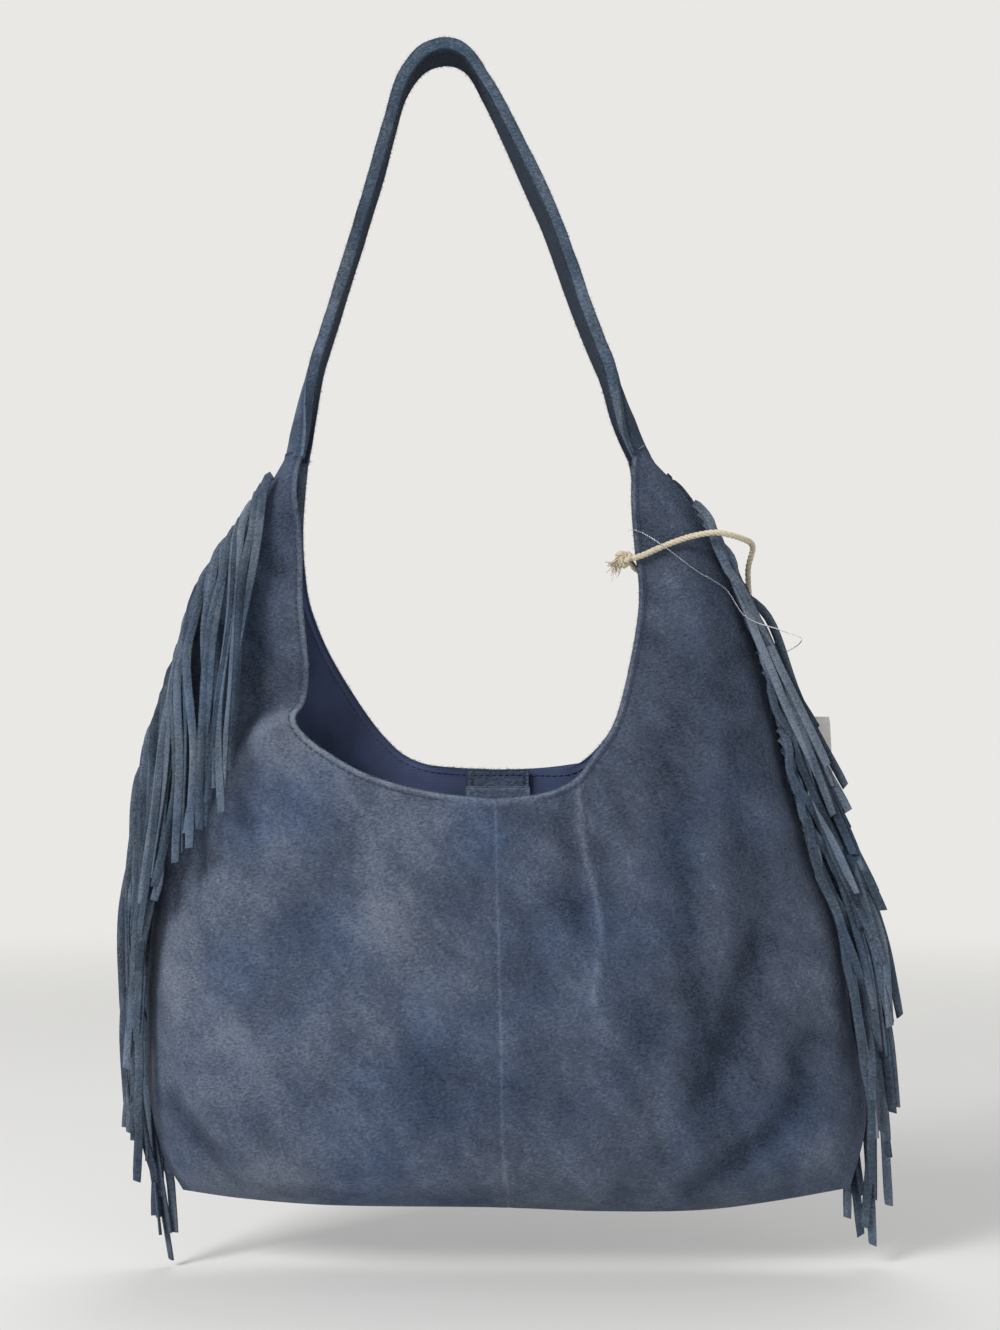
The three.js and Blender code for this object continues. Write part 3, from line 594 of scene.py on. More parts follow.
def suedeMaterial(name, look):
    material, tree, shader, place = newMaterial(name)
    # The tone attribute lifts or lowers the colour: it carries tone variation and the painted shade and
    # highlights set on each piece
    tone = addNode(tree, "ShaderNodeAttribute", attribute_name="tone").outputs["Fac"]
    cloud = noiseOf(tree, place, look["cloud"], 3, rough=0.55)
    marks = noiseOf(tree, place, look["brushMark"], 4, (1, 1, 0.5), 0.6, 0.6)
    grain = noiseOf(tree, place, look["grain"], 3, (0.6, 1, 1), 0.15, 0.7)
    across = noiseOf(tree, place, look["fibre"], 2, (0.36, 1, 1), 0.2)
    along = noiseOf(tree, place, look["fibre"], 2, (0.36, 1, 1), -0.5)
    fibres = addNode(tree, "ShaderNodeMath", {0: across, 1: along}, operation="MAXIMUM").outputs[0]
    parts = [(cloud, 0.55), (marks, 0.6), (grain, 0.75), (fibres, 0.6), (tone, 1.0)]
    value = weighed(tree, parts, -0.81)
    colour = rampOf(tree, value, [(0.08, look["dark"]), (0.48, look["middle"]), (0.98, look["light"])])
    deep = noiseOf(tree, place, look["cloud"] * 1.3, 2, rough=0.5)
    deeper = addNode(tree, "ShaderNodeMapRange", {0: deep, 1: 0.45, 2: 0.68, 3: 0.0, 4: 0.5}).outputs[0]
    dyed = addNode(
        tree,
        "ShaderNodeMix",
        {0: deeper, 6: colour, 7: colourOf(look["blue"])},
        data_type="RGBA",
        blend_type="COLOR",
    ).outputs[2]
    nap = bumpOf(tree, weighed(tree, [(grain, 0.8), (fibres, 0.8)]), 2.1, 1.0)
    tree.links.new(bumpOf(tree, marks, 1.2, 0.35, nap), shader.inputs["Normal"])
    tree.links.new(dyed, shader.inputs["Base Color"])
    tree.links.new(weighed(tree, [(grain, 0.16)], 0.84), shader.inputs["Roughness"])
    shader.inputs["Specular IOR Level"].default_value = 0.15
    shader.inputs["Sheen Weight"].default_value = look["sheen"]
    shader.inputs["Sheen Roughness"].default_value = 0.45
    shader.inputs["Sheen Tint"].default_value = colourOf("#c2cad8")
    return material


def clothMaterial(name, look):
    material, tree, shader, place = newMaterial(name)
    scale = 314 / look["thread"]  # at scale 1 a wave node's bands are 314 mm apart
    wave = {"Vector": place, "Scale": scale, "Distortion": 0.6, "Detail": 1}
    warp, weft = [
        addNode(tree, "ShaderNodeTexWave", wave, bands_direction=bands).outputs[1] for bands in ("X", "Z")
    ]
    weave = addNode(tree, "ShaderNodeMath", {0: warp, 1: weft}, operation="MULTIPLY").outputs[0]
    cloud = noiseOf(tree, place, look["cloud"], 3)
    value = weighed(tree, [(cloud, 0.9), (weave, 0.1)], 0.0)
    colour = rampOf(tree, value, [(0.2, look["dark"]), (0.75, look["light"])])
    tree.links.new(colour, shader.inputs["Base Color"])
    tree.links.new(bumpOf(tree, weave, 0.25, 0.5), shader.inputs["Normal"])
    shader.inputs["Roughness"].default_value = look["roughness"]
    shader.inputs["Specular IOR Level"].default_value = 0.3
    shader.inputs["Sheen Weight"].default_value = 0.15
    shader.inputs["Sheen Roughness"].default_value = 0.4
    return material


def plainMaterial(name, look):
    material, tree, shader, place = newMaterial(name)
    speck = noiseOf(tree, place, look["grain"], 4, rough=0.6)
    colour = rampOf(tree, speck, [(0.3, look["dark"]), (0.7, look["light"])])
    tree.links.new(colour, shader.inputs["Base Color"])
    tree.links.new(bumpOf(tree, speck, look["bump"], 0.5), shader.inputs["Normal"])
    rough = weighed(tree, [(speck, 0.15)], look["roughness"] - 0.07)
    tree.links.new(rough, shader.inputs["Roughness"])
    shader.inputs["Metallic"].default_value = look.get("metallic", 0)
    shader.inputs["Transmission Weight"].default_value = look.get("clear", 0)
    return material


suede = suedeMaterial("brushed blue split suede", suedeLook)
# The thongs' suede is a little darker than the panels': partly its own colour, partly painted shade for the
# thongs hanging in each other's shadow
fringeSuede = suedeMaterial(
    "cut suede thongs",
    {**suedeLook, "cloud": 35, "dark": "#252f3d", "middle": "#4f5c6c", "light": "#828d9c", "blue": "#465c78"},
)
strapSuede = suedeMaterial(
    "folded suede strap",
    {**suedeLook, "cloud": 45, "middle": "#4d5b6b", "blue": "#46607c"},
)
liningCotton = clothMaterial(
    "navy cotton lining",
    {"thread": 1.3, "cloud": 40, "dark": "#202842", "light": "#4a577c", "roughness": 0.7},
)
sewingThread = plainMaterial(
    "spun polyester sewing thread",
    {"grain": 0.8, "dark": "#1e273a", "light": "#37445e", "bump": 0.1, "roughness": 0.6},
)
nickel = plainMaterial(
    "worn nickel plate",
    {"grain": 3, "dark": "#8f8b82", "light": "#c4c0b6", "bump": 0.05, "roughness": 0.32, "metallic": 1},
)
cottonTwine = plainMaterial(
    "undyed cotton twine",
    {"grain": 1.0, "dark": "#b3a588", "light": "#e6dcc6", "bump": 0.35, "roughness": 0.9},
)
clearNylon = plainMaterial(
    "clear nylon thread",
    {"grain": 6, "dark": "#c9d3de", "light": "#e6ecf2", "bump": 0.01, "roughness": 0.12, "clear": 0.9},
)
whiteBoard = plainMaterial(
    "uncoated white board",
    {"grain": 1.6, "dark": "#e2dfd8", "light": "#f1eee8", "bump": 0.04, "roughness": 0.75},
)
blackBoard = plainMaterial(
    "dyed black board",
    {"grain": 1.6, "dark": "#0e0f12", "light": "#1d1f24", "bump": 0.04, "roughness": 0.5},
)
print("materials made")


# Camera: level and straight on, from a little below the picture's middle

picture = {
    "scale": 0.56,  # millimetres to a pixel
    "height": 1330,
    "middleX": 29.7,
    "middleZ": -345.5,
    "distance": 950,
    "lower": 55,  # how far the eye is below the picture's middle
    "inFront": 7,
}
camera = bpy.data.objects.new("camera", bpy.data.cameras.new("camera"))
bpy.context.scene.collection.objects.link(camera)
camera.data.sensor_width = 36
reach = picture["distance"] - picture["inFront"]  # the picture's scale holds this far from the eye
camera.data.lens = 36 * reach / (picture["scale"] * picture["height"])
camera.data.shift_y = picture["lower"] / (picture["scale"] * picture["height"])
eyeZ = picture["middleZ"] - picture["lower"]
camera.location = Vector((picture["middleX"], -picture["distance"], eyeZ)) * 0.001
camera.rotation_euler = (math.pi / 2, 0, 0)
bpy.context.scene.camera = camera


# Tags on strings, tied round the right shoulder

twineCut = {"thick": 3.5, "strand": 0.92, "lay": 8.5, "length": 0.366}
threadCut = {"thick": 0.7, "length": 0.283}
twineRoute = [
    (99.9, -18.4, -287.0), (105.3, -20.0, -286.7), (118.9, -18.8, -281.0), (129.5, -20.2, -277.0),
    (138.3, -24.4, -275.0), (148.1, -26.6, -274.0), (155.6, -25.0, -275.0), (163.6, -19.5, -276.5),
    (171.6, -4.0, -279.0), (170.6, 7.0, -292.0), (178.7, 20.5, -336.0), (190.9, 18.0, -368.0),
    (192.9, 18.8, -378.0), (192.9, 22.0, -382.0), (192.9, 25.2, -378.0), (186.9, 26.0, -366.0),
    (162.6, 16.3, -342.0), (140.1, 17.7, -318.0), (122.1, 17.8, -296.0), (108.8, 16.0, -290.0),
    (104.1, 0.5, -288.0), (99.9, -15.4, -287.0),
]
threadRoute = [
    (101.3, -9.7, -271.0), (101.8, -16.6, -271.0), (106.5, -16.8, -272.0), (118.7, -21.4, -280.0),
    (138.4, -18.0, -294.0), (154.0, -19.6, -304.0), (164.7, -24.5, -320.0), (186.7, -15.0, -327.0),
    (199.7, -2.0, -331.0), (192.7, 10.0, -337.0), (178.7, 11.6, -339.6), (178.7, 14.0, -340.0),
    (177.7, 16.6, -339.2), (168.7, 18.0, -330.0), (148.7, 17.0, -308.0), (126.8, 17.0, -286.0),
    (108.4, 14.8, -274.0), (104.5, -0.1, -272.0),
]


def twisted(line, strandRadius, lay, strands=3, sides=7):
    normals, across = framesAlong(line)
    gone = np.concatenate([[0], np.cumsum(np.linalg.norm(np.diff(line, axis=0), axis=1))])
    parts = []
    for k in range(strands):
        angle = gone / lay * 2 * math.pi + k * 2 * math.pi / strands
        offset = np.cos(angle)[:, None] * normals + np.sin(angle)[:, None] * across
        parts.append(tubeAlong(line + offset * strandRadius * 0.92, strandRadius, sides))
    return parts


def evenLine(points, step):
    place, length = alongLine(smoothLine(points))
    return place(np.linspace(0, 1, max(int(length / step), 4)))


def tagTwine():
    line = evenLine(twineRoute, 0.9)
    points, faces = gathered(twisted(line, twineCut["strand"], twineCut["lay"]))
    loop = meshPiece("twine_strands", points, faces, cottonTwine)
    belongs(loop, "cotton_twine", "tag_twine")
    return loop, line


knotCut = {
    "at": (98.2, -18.6, -287.3),
    "strand": 0.85,
    "lay": 7.0,
    "tuftAt": (95.6, -19.4, -288.6),
    "tufts": ((-5.5, -2.0, -3.5), (-2.5, -2.5, -6.5)),  # the way each frayed end points
    "hairs": 26,
}


def twineKnot():
    chance = np.random.default_rng(62)
    t = np.linspace(0, 2 * math.pi, 90)
    turn = [(np.sin(t) + 2 * np.sin(2 * t)), -(np.sin(3 * t)), (np.cos(t) - 2 * np.cos(2 * t))]
    line = np.stack(turn, -1) * (1.25, 1.5, 1.35) + np.array(knotCut["at"])
    parts = twisted(line, knotCut["strand"], knotCut["lay"])
    for tuft in knotCut["tufts"]:
        for n in range(knotCut["hairs"]):
            splay = chance.normal(0, 1, 3) * (1.5, 1.2, 1.6)
            start = np.array(knotCut["tuftAt"]) + chance.normal(0, 0.8, 3)
            end = start + np.array(tuft) * chance.uniform(0.6, 1.1) + splay
            bend = mix(start, end, 0.55) + chance.normal(0, 0.7, 3)
            hair = smoothLine([start, bend, end], steps=5)
            parts.append(tubeAlong(hair, np.linspace(0.36, 0.2, len(hair)), 4))
    points, faces = gathered(parts)
    knot = meshPiece("twine_knot", points, faces, cottonTwine)
    return belongs(knot, "cotton_twine")


def tagThread():
    line = evenLine(threadRoute, 1.2)
    points, faces = tubeAlong(line, threadCut["thick"] / 2, 7)
    thread = meshPiece("nylon_thread", points, faces, clearNylon)
    belongs(thread, "clear_thread", "tag_thread")
    return thread, line


cards = {
    "white_tag_card": {"size": (55, 88), "hole": 3.5, "at": (192.9, 22.0, -382.0), "tilt": -0.05},
    "black_tag_card": {"size": (30, 48), "hole": 2.0, "at": (178.7, 14.0, -340.0), "tilt": -0.24},
}
board = {"thick": 0.8, "corner": 1.6}


def tagCard(name, material, slotName):
    card = cards[name]
    (width, height), hole, thick = card["size"], card["hole"], board["thick"]
    top = hole + 4
    angles = np.linspace(0, 2 * math.pi, 48, endpoint=False)
    rings = [np.stack([hole * np.cos(angles), hole * np.sin(angles)], -1)]
    low, high = np.array((-width / 2, top - height)), np.array((width / 2, top))
    outline = []
    for angle in angles:
        d = np.array((math.cos(angle), math.sin(angle)))
        reach = min(
            (high[0] if d[0] > 0 else low[0]) / d[0] if abs(d[0]) > 1e-9 else 1e9,
            (high[1] if d[1] > 0 else low[1]) / d[1] if abs(d[1]) > 1e-9 else 1e9,
        )
        outline.append(d * reach)
    outline = np.array(outline)
    for square in ((low[0], low[1]), (high[0], low[1]), (low[0], high[1]), (high[0], high[1])):
        nearest = np.argmin(np.hypot(*(outline - square).T))
        outline[nearest] = np.array(square) - np.sign(square) * board["corner"] * 0.3
    for t in (0.06, 0.2, 0.45, 0.72, 0.97, 1.0):
        rings.append(mix(rings[0], outline, t))
    flat = np.array(rings)
    curl = lambda p: 0.00028 * p[..., 0] ** 2 + 0.00012 * (p[..., 1] - top) ** 2
    faceOf = lambda offset: np.stack([flat[..., 0], curl(flat) + offset, flat[..., 1]], -1)
    frontSheet, backSheet = faceOf(-thick / 2), faceOf(thick / 2)
    rows, columns = flat.shape[:2]
    count = rows * columns
    points = np.vstack([frontSheet.reshape(-1, 3), backSheet.reshape(-1, 3)])
    faces = [gridFaces(rows, columns, closed=True), gridFaces(rows, columns, count, closed=True)[:, ::-1]]
    ring = np.arange(columns)
    for start, flip in ((0, False), ((rows - 1) * columns, True)):
        a, b = start + ring, start + np.roll(ring, -1)
        wall = np.stack([a, b, b + count, a + count], -1)
        faces.append(wall[:, ::-1] if flip else wall)
    faces = facingOut(points, np.vstack(faces))
    c, s = math.cos(card["tilt"]), math.sin(card["tilt"])
    x, y, z = points.T
    points = np.stack([x * c + z * s, y, -x * s + z * c], -1) + np.array(card["at"])
    made = meshPiece(name + "_board", points, faces, material, smooth=False)
    return belongs(made, slotName, name)


twine, twineLine = tagTwine()
knot = twineKnot()
thread, threadLine = tagThread()
tagCard("white_tag_card", whiteBoard, "white_card")
blackCard = tagCard("black_tag_card", blackBoard, "black_card")
print("tags and strings made")


# Panels and linings

liningInset = 9
# The shoulders' tops are sewn over the strap's ends: how far up at the seam and at the rim
strapLap = {"up": {left: (3, 3), right: (7, 1)}, "lean": {left: 0.36, right: 0.75}, "out": 0.7}
lapRows = 0.09  # share of the panel's upper rows that the lap stretches
meetingGap = 0.02


def netHalf(face, side, inset, grid, top=0.0):
    rim, _ = alongLine(rimLine(face, side))
    lowest = scoopZ(face)
    corner = insetCorner(side, inset)
    shares = 0.5 - 0.5 * np.cos(np.linspace(0, 1, grid["columns"]) * math.pi)
    rows = np.concatenate([np.linspace(top, 1, grid["upper"]), np.linspace(1, 2, grid["lower"])[1:]])
    bottom = float(insetBottomZ(float(middleX(tipZ - bag["height"])), inset))
    net = []
    for v in rows:
        lap = max(0.0, 1 - v / lapRows) if inset < liningInset else 0.0
        outerZ = mix(tipZ - 0.15, lowest, min(v, 1)) + strapLap["up"][side][0] * lap
        inner = rim(min(v, 1)).copy()
        sag = 0.0
        if v > 1:
            down = math.sin((v - 1) * math.pi / 2)
            outerZ = mix(lowest, corner[1], down)
            z = mix(lowest, bottom, down)
            inner = np.array([float(middleX(z)), z])
            sag = down**2
        if v == 0:
            inner[1] = tipZ - 0.15
        inner[1] += strapLap["up"][side][1] * lap
        above = max(outerZ - tipZ, 0.0)
        lean = side * strapLap["lean"][side]
        outer = np.array([float(insetSeamX(side, outerZ, inset)) - lean * above, outerZ])
        outer[0] += side * strapLap["out"] * lap
        inner[0] -= lean * max(inner[1] - tipZ, 0.0)
        if v == rows[-1]:
            outer = corner.copy()
        if v >= 1 and inset < liningInset:
            inner[0] += side * meetingGap / 2
        points = outer + shares[:, None] * (inner - outer)
        if sag > 0:
            chord = mix(corner[1], float(insetBottomZ(inner[0], inset)), shares)
            points[:, 1] += sag * (insetBottomZ(points[:, 0], inset) - chord)
        net.append(points)
    return np.array(net)


def layerOf(face, net, inset, depth, rim):
    x, z = net[..., 0], net[..., 1]
    rimFar = distanceTo(x, z, rim)[0]
    relief = reliefOf(face, x, z)
    raised = strapLap["out"] * smoothstep(z, tipZ - 14, tipZ + 1) if inset < liningInset else 0.0
    y = wallY(face, x, z, inset, depth) + face * (relief + rimRelief(x, z, rimFar) + raised)
    return np.stack([x, y, z], -1), relief, rimFar


def toneOf(face, x, z, relief, rimFar):
    shoulder = smoothstep(z, -400, -330) * mix(0.08, 0.14, smoothstep(-x, 20, 80))
    # Painted light from the left: lighter on the left side, a little darker on the right
    sideways = 0.1 * smoothstep(-x, -20, 120) - 0.01 * smoothstep(x, 60, 200)
    # Painted shade in the relief's hollows and painted light on its rises
    tone = 0.04 * np.clip(relief, -3, 3) - shoulder + sideways
    # Lighter along the rim's cut edge; painted shade in the groove of the rim's stitch line just inside
    tone = tone + 0.24 * bump(rimFar - 0.5, 1.6) - 0.06 * bump(rimFar - 3.5, 0.9)
    if face == front:
        # Painted highlights along the crease and the shoulder fold
        tone = tone + 0.24 * bump(distanceTo(x, z, foldLine(folds["crease"]))[0], 1.3)
        tone = tone + 0.12 * bump(distanceTo(x, z, foldLine(folds["creaseTop"]))[0], 1.3)
        tone = tone + 0.14 * bump(distanceTo(x, z, foldLine(folds["shoulderFold"]))[0], 5)
        # Painted shade over the right shoulder
        tone = tone - 0.1 * bump(np.hypot(x - 150, z + 380), 90)
        # Painted shade along the fold valleys
        for line, deep, wide, dark in folds["valleys"]:
            tone = tone - dark * bump(distanceTo(x, z, foldLine(line))[0], wide * 0.9)
    seamGap = np.abs(x - middleX(z))
    below = smoothstep(scoopZ(face) - z, -1, 2)
    return tone + below * 0.2 * bump(seamGap, 1.1)


panelGrid = {"columns": 92, "upper": 96, "lower": 84}
backGrid = {"columns": 70, "upper": 70, "lower": 60}
faceNames = {front: "front", back: "back"}
sideNames = {left: "left", right: "right"}


def suedePanel(face, side):
    name = faceNames[face] + "_panel_" + sideNames[side]
    grid = panelGrid if face == front else backGrid
    rim = rimLine(face, side)
    thick = bag["suede"]
    outer, relief, rimFar = layerOf(face, netHalf(face, side, 0, grid), 0, 0, rim)
    under = layerOf(face, netHalf(face, side, thick, grid), thick, thick, rim)[0]
    points, faces = thickSheet(outer, under, 0.35)
    tone = toneOf(face, outer[..., 0], outer[..., 2], relief, rimFar).ravel()
    edge = np.full(len(points) - 2 * len(tone), 0.22)
    rimEdge, beside = outer[:grid["upper"], -1], outer[:grid["upper"], -5]
    outs = rimEdge - beside
    outs /= np.linalg.norm(outs, axis=1, keepdims=True)
    fibres = looseFibres(rimEdge, outs, 70 + face + 5 * side)
    tones = np.concatenate([tone, tone, edge, np.full(len(fibres[0]), 0.2)])
    points, faces = gathered([(points, facingOut(points, faces)), fibres])
    piece = meshPiece(name + "_suede", points, faces, suede, tone=tones)
    return belongs(piece, "suede", name)


def liningOf(face):
    name = "lining_" + faceNames[face]
    grid = {"columns": 60, "upper": 60, "lower": 50}
    depth = bag["suede"] + bag["liningEase"]
    parts = []
    for side in (left, right):
        rim = rimLine(face, side)
        layers = []
        for inset, deep in ((liningInset, depth), (liningInset + bag["lining"], depth + bag["lining"])):
            net = netHalf(face, side, inset, grid, 0.25)
            layers.append(layerOf(face, net, inset, deep, rim)[0])
        points, faces = thickSheet(layers[0], layers[1], 0.1, 1)
        parts.append((points, facingOut(points, faces)))
    points, faces = gathered(parts)
    return belongs(meshPiece(name + "_cotton", points, faces, liningCotton), "lining_cloth", name)


panels = {(face, side): suedePanel(face, side) for face in (front, back) for side in (left, right)}
linings = {face: liningOf(face) for face in (front, back)}
print("panels and linings made")


# Strap: one folded strip of suede, curled at its edges and rolled to half a tube at each end

strapRoute = {
    left: [(0.16, 0.018), (0.3, 0.085), (0.4, 0.21), (0.62, 0.5), (0.81, 0.73), (0.93, 0.875)],
    right: [(0.11, 0.02), (0.22, 0.1), (0.33, 0.205), (0.52, 0.41), (0.72, 0.68), (0.86, 0.84)],
}


def strapLine():
    top, end = strapCut["thickness"], tipZ + 0.15
    legs = []
    for side in (left, right):
        reach = float(seamX(side, tipZ))
        legs.append([(reach * x, mix(top, end, z)) for x, z in strapRoute[side]] + [(reach, end)])
    return smoothLine([*legs[0][::-1], (0, top), *legs[1]])


def strap():
    place, length = alongLine(strapLine())
    rows, columns = 300, 44
    flatBend = 8 * strapCut["curl"] / strapCut["width"] ** 2
    endBend = math.pi / strapCut["width"]
    even = np.linspace(0, 1, columns)
    u = mix(even, 0.5 - 0.5 * np.cos(even * math.pi), 0.6)
    shares = np.linspace(0, 1, rows)
    lengthwise = np.repeat(shares[:, None], columns, 1) * length
    crosswise = np.repeat(u[None], rows, 0) * strapCut["width"]
    fromEdge = np.minimum(crosswise, strapCut["width"] - crosswise)
    rolledEdge = 1.3 * bump(crosswise - 1.5, 4.5)
    uneven = 0.55 * unevenness(crosswise * 1.4, lengthwise, 42, 31)
    uneven = uneven + 0.2 * unevenness(crosswise, lengthwise, 9, 32)
    fold = -0.9 * bump(crosswise - 2.6, 0.9) - 0.5 * bump(crosswise - 33.2, 0.9)
    wander = mix(17, 25, shares[:, None]) + 2 * unevenness(lengthwise, 0 * lengthwise, 60, 33)
    groove = -0.9 * bump(crosswise - wander, 1.4)
    endGroove = groove * (1 - smoothstep(np.minimum(lengthwise, length - lengthwise), 20, 90))
    outerRelief = uneven + fold + endGroove + rolledEdge
    innerRelief = 0.5 * unevenness(crosswise, lengthwise, 30, 34) + 0.6 * bump(crosswise - 18, 1.2)
    innerRelief = innerRelief + 0.8 * rolledEdge
    layers = []
    for layer, relief in ((0, outerRelief), (1, -innerRelief)):
        points = []
        for row, share in enumerate(shares):
            here = place(share)
            step = place(min(share + 0.002, 1)) - place(max(share - 0.002, 0))
            tx, tz = step / np.hypot(*step)
            fromEnd = min(share, 1 - share) * length
            rolled = 1 - float(smoothstep(fromEnd, 0, strapCut["rollLength"]))
            level = 1 - float(smoothstep(fromEnd, 0, strapCut["rollLength"] / 2))
            side = left if share < 0.5 else right
            out = np.array((mix(-tz, side, level), 0, mix(tx, 0, level)))
            out /= np.linalg.norm(out)
            near = min(share, 1 - share)
            twist = strapCut["twist"][side] * math.sin(2 * math.pi * near)
            twist += strapCut["topTwist"] * bump(near - 0.38, 0.09)
            twist = math.radians(twist - strapCut["topRoll"] * bump(share - 0.5, 0.07))
            tangent = Vector((tx, 0, tz))
            turned = Vector((0, 1, 0))
            turned.rotate(Quaternion(tangent, -twist * (1 - rolled)))
            across = np.array(turned)
            bend = mix(flatBend, endBend, rolled)
            angle = bend * strapCut["width"] * (u - 0.5)
            radius = 1 / bend - layer * strapCut["thickness"] + relief[row]
            sideways = radius * np.sin(angle) * (1 + bag["fringeSeam"] / tipRadius * rolled)
            inwards = 1 / bend - radius * np.cos(angle)
            points.append(
                np.array((here[0], 0, here[1])) + across * sideways[:, None] - out * inwards[:, None]
            )
        layers.append(np.array(points))
    points, faces = thickSheet(layers[0], layers[1], 0.5, 5)
    # Outer face: lighter at the cut edges, with painted shade in the fold's groove and in the grooves near
    # the ends
    tone = 0.12 + 0.2 * bump(fromEdge - 0.6, 1.0) + 0.125 * fold + 0.3 * endGroove
    # Painted shade: the right leg, turned from the lamps, is darker all over
    tone = tone - 0.35 * smoothstep(shares, 0.42, 0.6)[:, None]
    # Inner face: painted shade, darker all over and darker still under the top where the strap bends over its
    # bearing, with random streaks and a lighter band along one edge
    streak = 0.18 * unevenness(crosswise * 3, lengthwise * 0.25, 11, 36)
    top = smoothstep(shares, 0.36, 0.47) * (1 - smoothstep(shares, 0.53, 0.64))
    paintedInnerShadeAndStreaks = (-0.6 + streak + 0.25 * bump(crosswise, 2.5) - 0.6 * top[:, None]).ravel()
    edges = np.full(len(points) - 2 * tone.size, 0.05)
    parts = [(points, facingOut(points, faces))]
    middle = (layers[0] + layers[1]) / 2
    for column, beside in ((0, 3), (columns - 1, columns - 4)):
        outs = middle[:, column] - middle[:, beside]
        outs /= np.linalg.norm(outs, axis=1, keepdims=True)
        for layer in layers:
            splayed = outs + (layer[:, column] - middle[:, column]) * 0.3
            parts.append(looseFibres(layer[:, column], splayed, 90 + column))
    fibreCount = sum(len(part[0]) for part in parts[1:])
    tones = np.concatenate([tone.ravel(), paintedInnerShadeAndStreaks, edges, np.full(fibreCount, 0.15)])
    points, faces = gathered(parts)
    made = meshPiece("strap_suede", points, faces, strapSuede, tone=tones)
    return belongs(made, "suede", "strap")


strapPiece = strap()
print("strap made")


# Fringe: a strip sewn into each side seam, cut like a comb into thongs

tipXs = {
    left: smoothThrough([
        (-560, -140), (-525, -148), (-516, -154), (-497, -162), (-463, -169), (-449, -176), (-382, -174),
        (-360, -171), (-345, -168), (-323, -170), (-315, -165), (-303, -158), (-295, -147), (-278, -135.5),
        (-253, -126), (-236, -109),
    ]),
    right: smoothThrough([
        (-540, 222), (-500, 231), (-470, 238), (-446, 240), (-418, 242), (-374, 241), (-351, 238),
        (-330, 233), (-303, 225), (-274, 216), (-260, 211), (-236, 205),
    ]),
}
outSlide = {
    left: smoothThrough([
        (-560, 3), (-483, 6), (-401, 7), (-340, 6), (-303, 6), (-278, 6), (-256, 5), (-236, 1.5),
    ]),
    right: smoothThrough([
        (-540, 1.5), (-480, 3), (-434, 6), (-400, 7), (-360, 8), (-320, 9), (-290, 10), (-265, 10),
        (-250, 7), (-236, 2),
    ]),
}
# Across a thong, in half widths and half thicknesses
thongSection = [
    (-1, -0.35), (-0.82, -1), (0, -1), (0.82, -1), (1, -0.35), (1, 0.35), (0.82, 1), (0, 1), (-0.82, 1),
    (-1, 0.35),
]
behindFrom = 45  # the lowest thongs hang behind the bag's corner, and are cut longer
tuckedFirst = 4  # the right shoulder's first thongs hang behind it


def thongPath(side, distance, number):
    chance = np.random.default_rng(400 + number + (100 if side == right else 0))
    rootX, rootZ = seamAt[side](distance)
    long = fringeCut["length"] * (1 + chance.normal(0, fringeCut["lengthStray"]))
    long += fringeCut["behindLonger"] if number >= behindFrom else 0
    rank = number % 4
    tipX = float(tipXs[side](rootZ)) + chance.normal(0, fringeCut["tipStray"])
    fanned = float(smoothstep(number, 5, 17))
    tipX += 4 * (rank - 1.5) * fanned + 2 if side == right else 2.5
    slide = max(float(outSlide[side](rootZ)) + chance.normal(0, 1.8), 1.2)
    ahead = seamAt[side](distance + 1) - np.array((rootX, rootZ))
    ahead /= np.hypot(*ahead)
    out = np.array((-side * ahead[1], side * ahead[0]))
    root = np.array((rootX, rootZ))
    reachX = rootX + side * (slide + (1.1 * rank if side == left else 0.9 * rank * fanned))
    sag = 4 + 0.5 * slide
    upright = float(smoothstep(number, 18, 32)) if side == right else 0.0
    drop = math.sqrt(max(long**2 - (tipX - reachX) ** 2, 60**2)) - 0.6 * slide
    wave = chance.normal(0, 2.8 if side == left else 1.6), chance.normal(0, 2.4)
    flat = [
        root - out * 0.6,
        root + out * 1.2 + (0, -1.6),
        np.array((mix(rootX, reachX, 0.75), rootZ - 7 - sag * 0.5)),
        np.array((reachX, rootZ - 19 - sag)),
        np.array((mix(reachX, tipX, mix(0.25, 0.4, upright)) + wave[0], rootZ - drop * 0.33)),
        np.array((mix(reachX, tipX, mix(0.6, 0.84, upright)) + wave[1], rootZ - drop * 0.66)),
        np.array((tipX, rootZ - drop)),
    ]
    line = smoothLine(flat, steps=12)
    if side == left:
        beside = np.minimum(line[:, 0], seamX(left, line[:, 1]) + 0.5 - 1.5 * rank)
        line[:, 0] = mix(line[:, 0], beside, smoothstep(-line[:, 1], 460, 510))
    if side == right:
        beside = seamX(right, line[:, 1]) - 2.6 + 2.0 * rank
        if number < behindFrom:
            pushed = mix(line[:, 0], beside, smoothstep(rootZ - line[:, 1], 4, 16))
            line[:, 0] = np.maximum(line[:, 0], pushed)
    place, length = alongLine(line)
    return place, length, rank, chance, root


def thongForward(x, z, drop, rank, stacked, loose):
    half = fringeCut["width"] / 2
    walls = np.min([wallY(front, x + step, z) for step in (-half, 0, half)], axis=0)
    lift = fringeCut["lift"] + fringeCut["liftByDrop"] * drop + (3 - rank) * fringeCut["stack"] * stacked
    lift = lift + loose * smoothstep(drop, 5, 60)
    return smoothstep(drop, 0.4, 5) * (walls - lift)


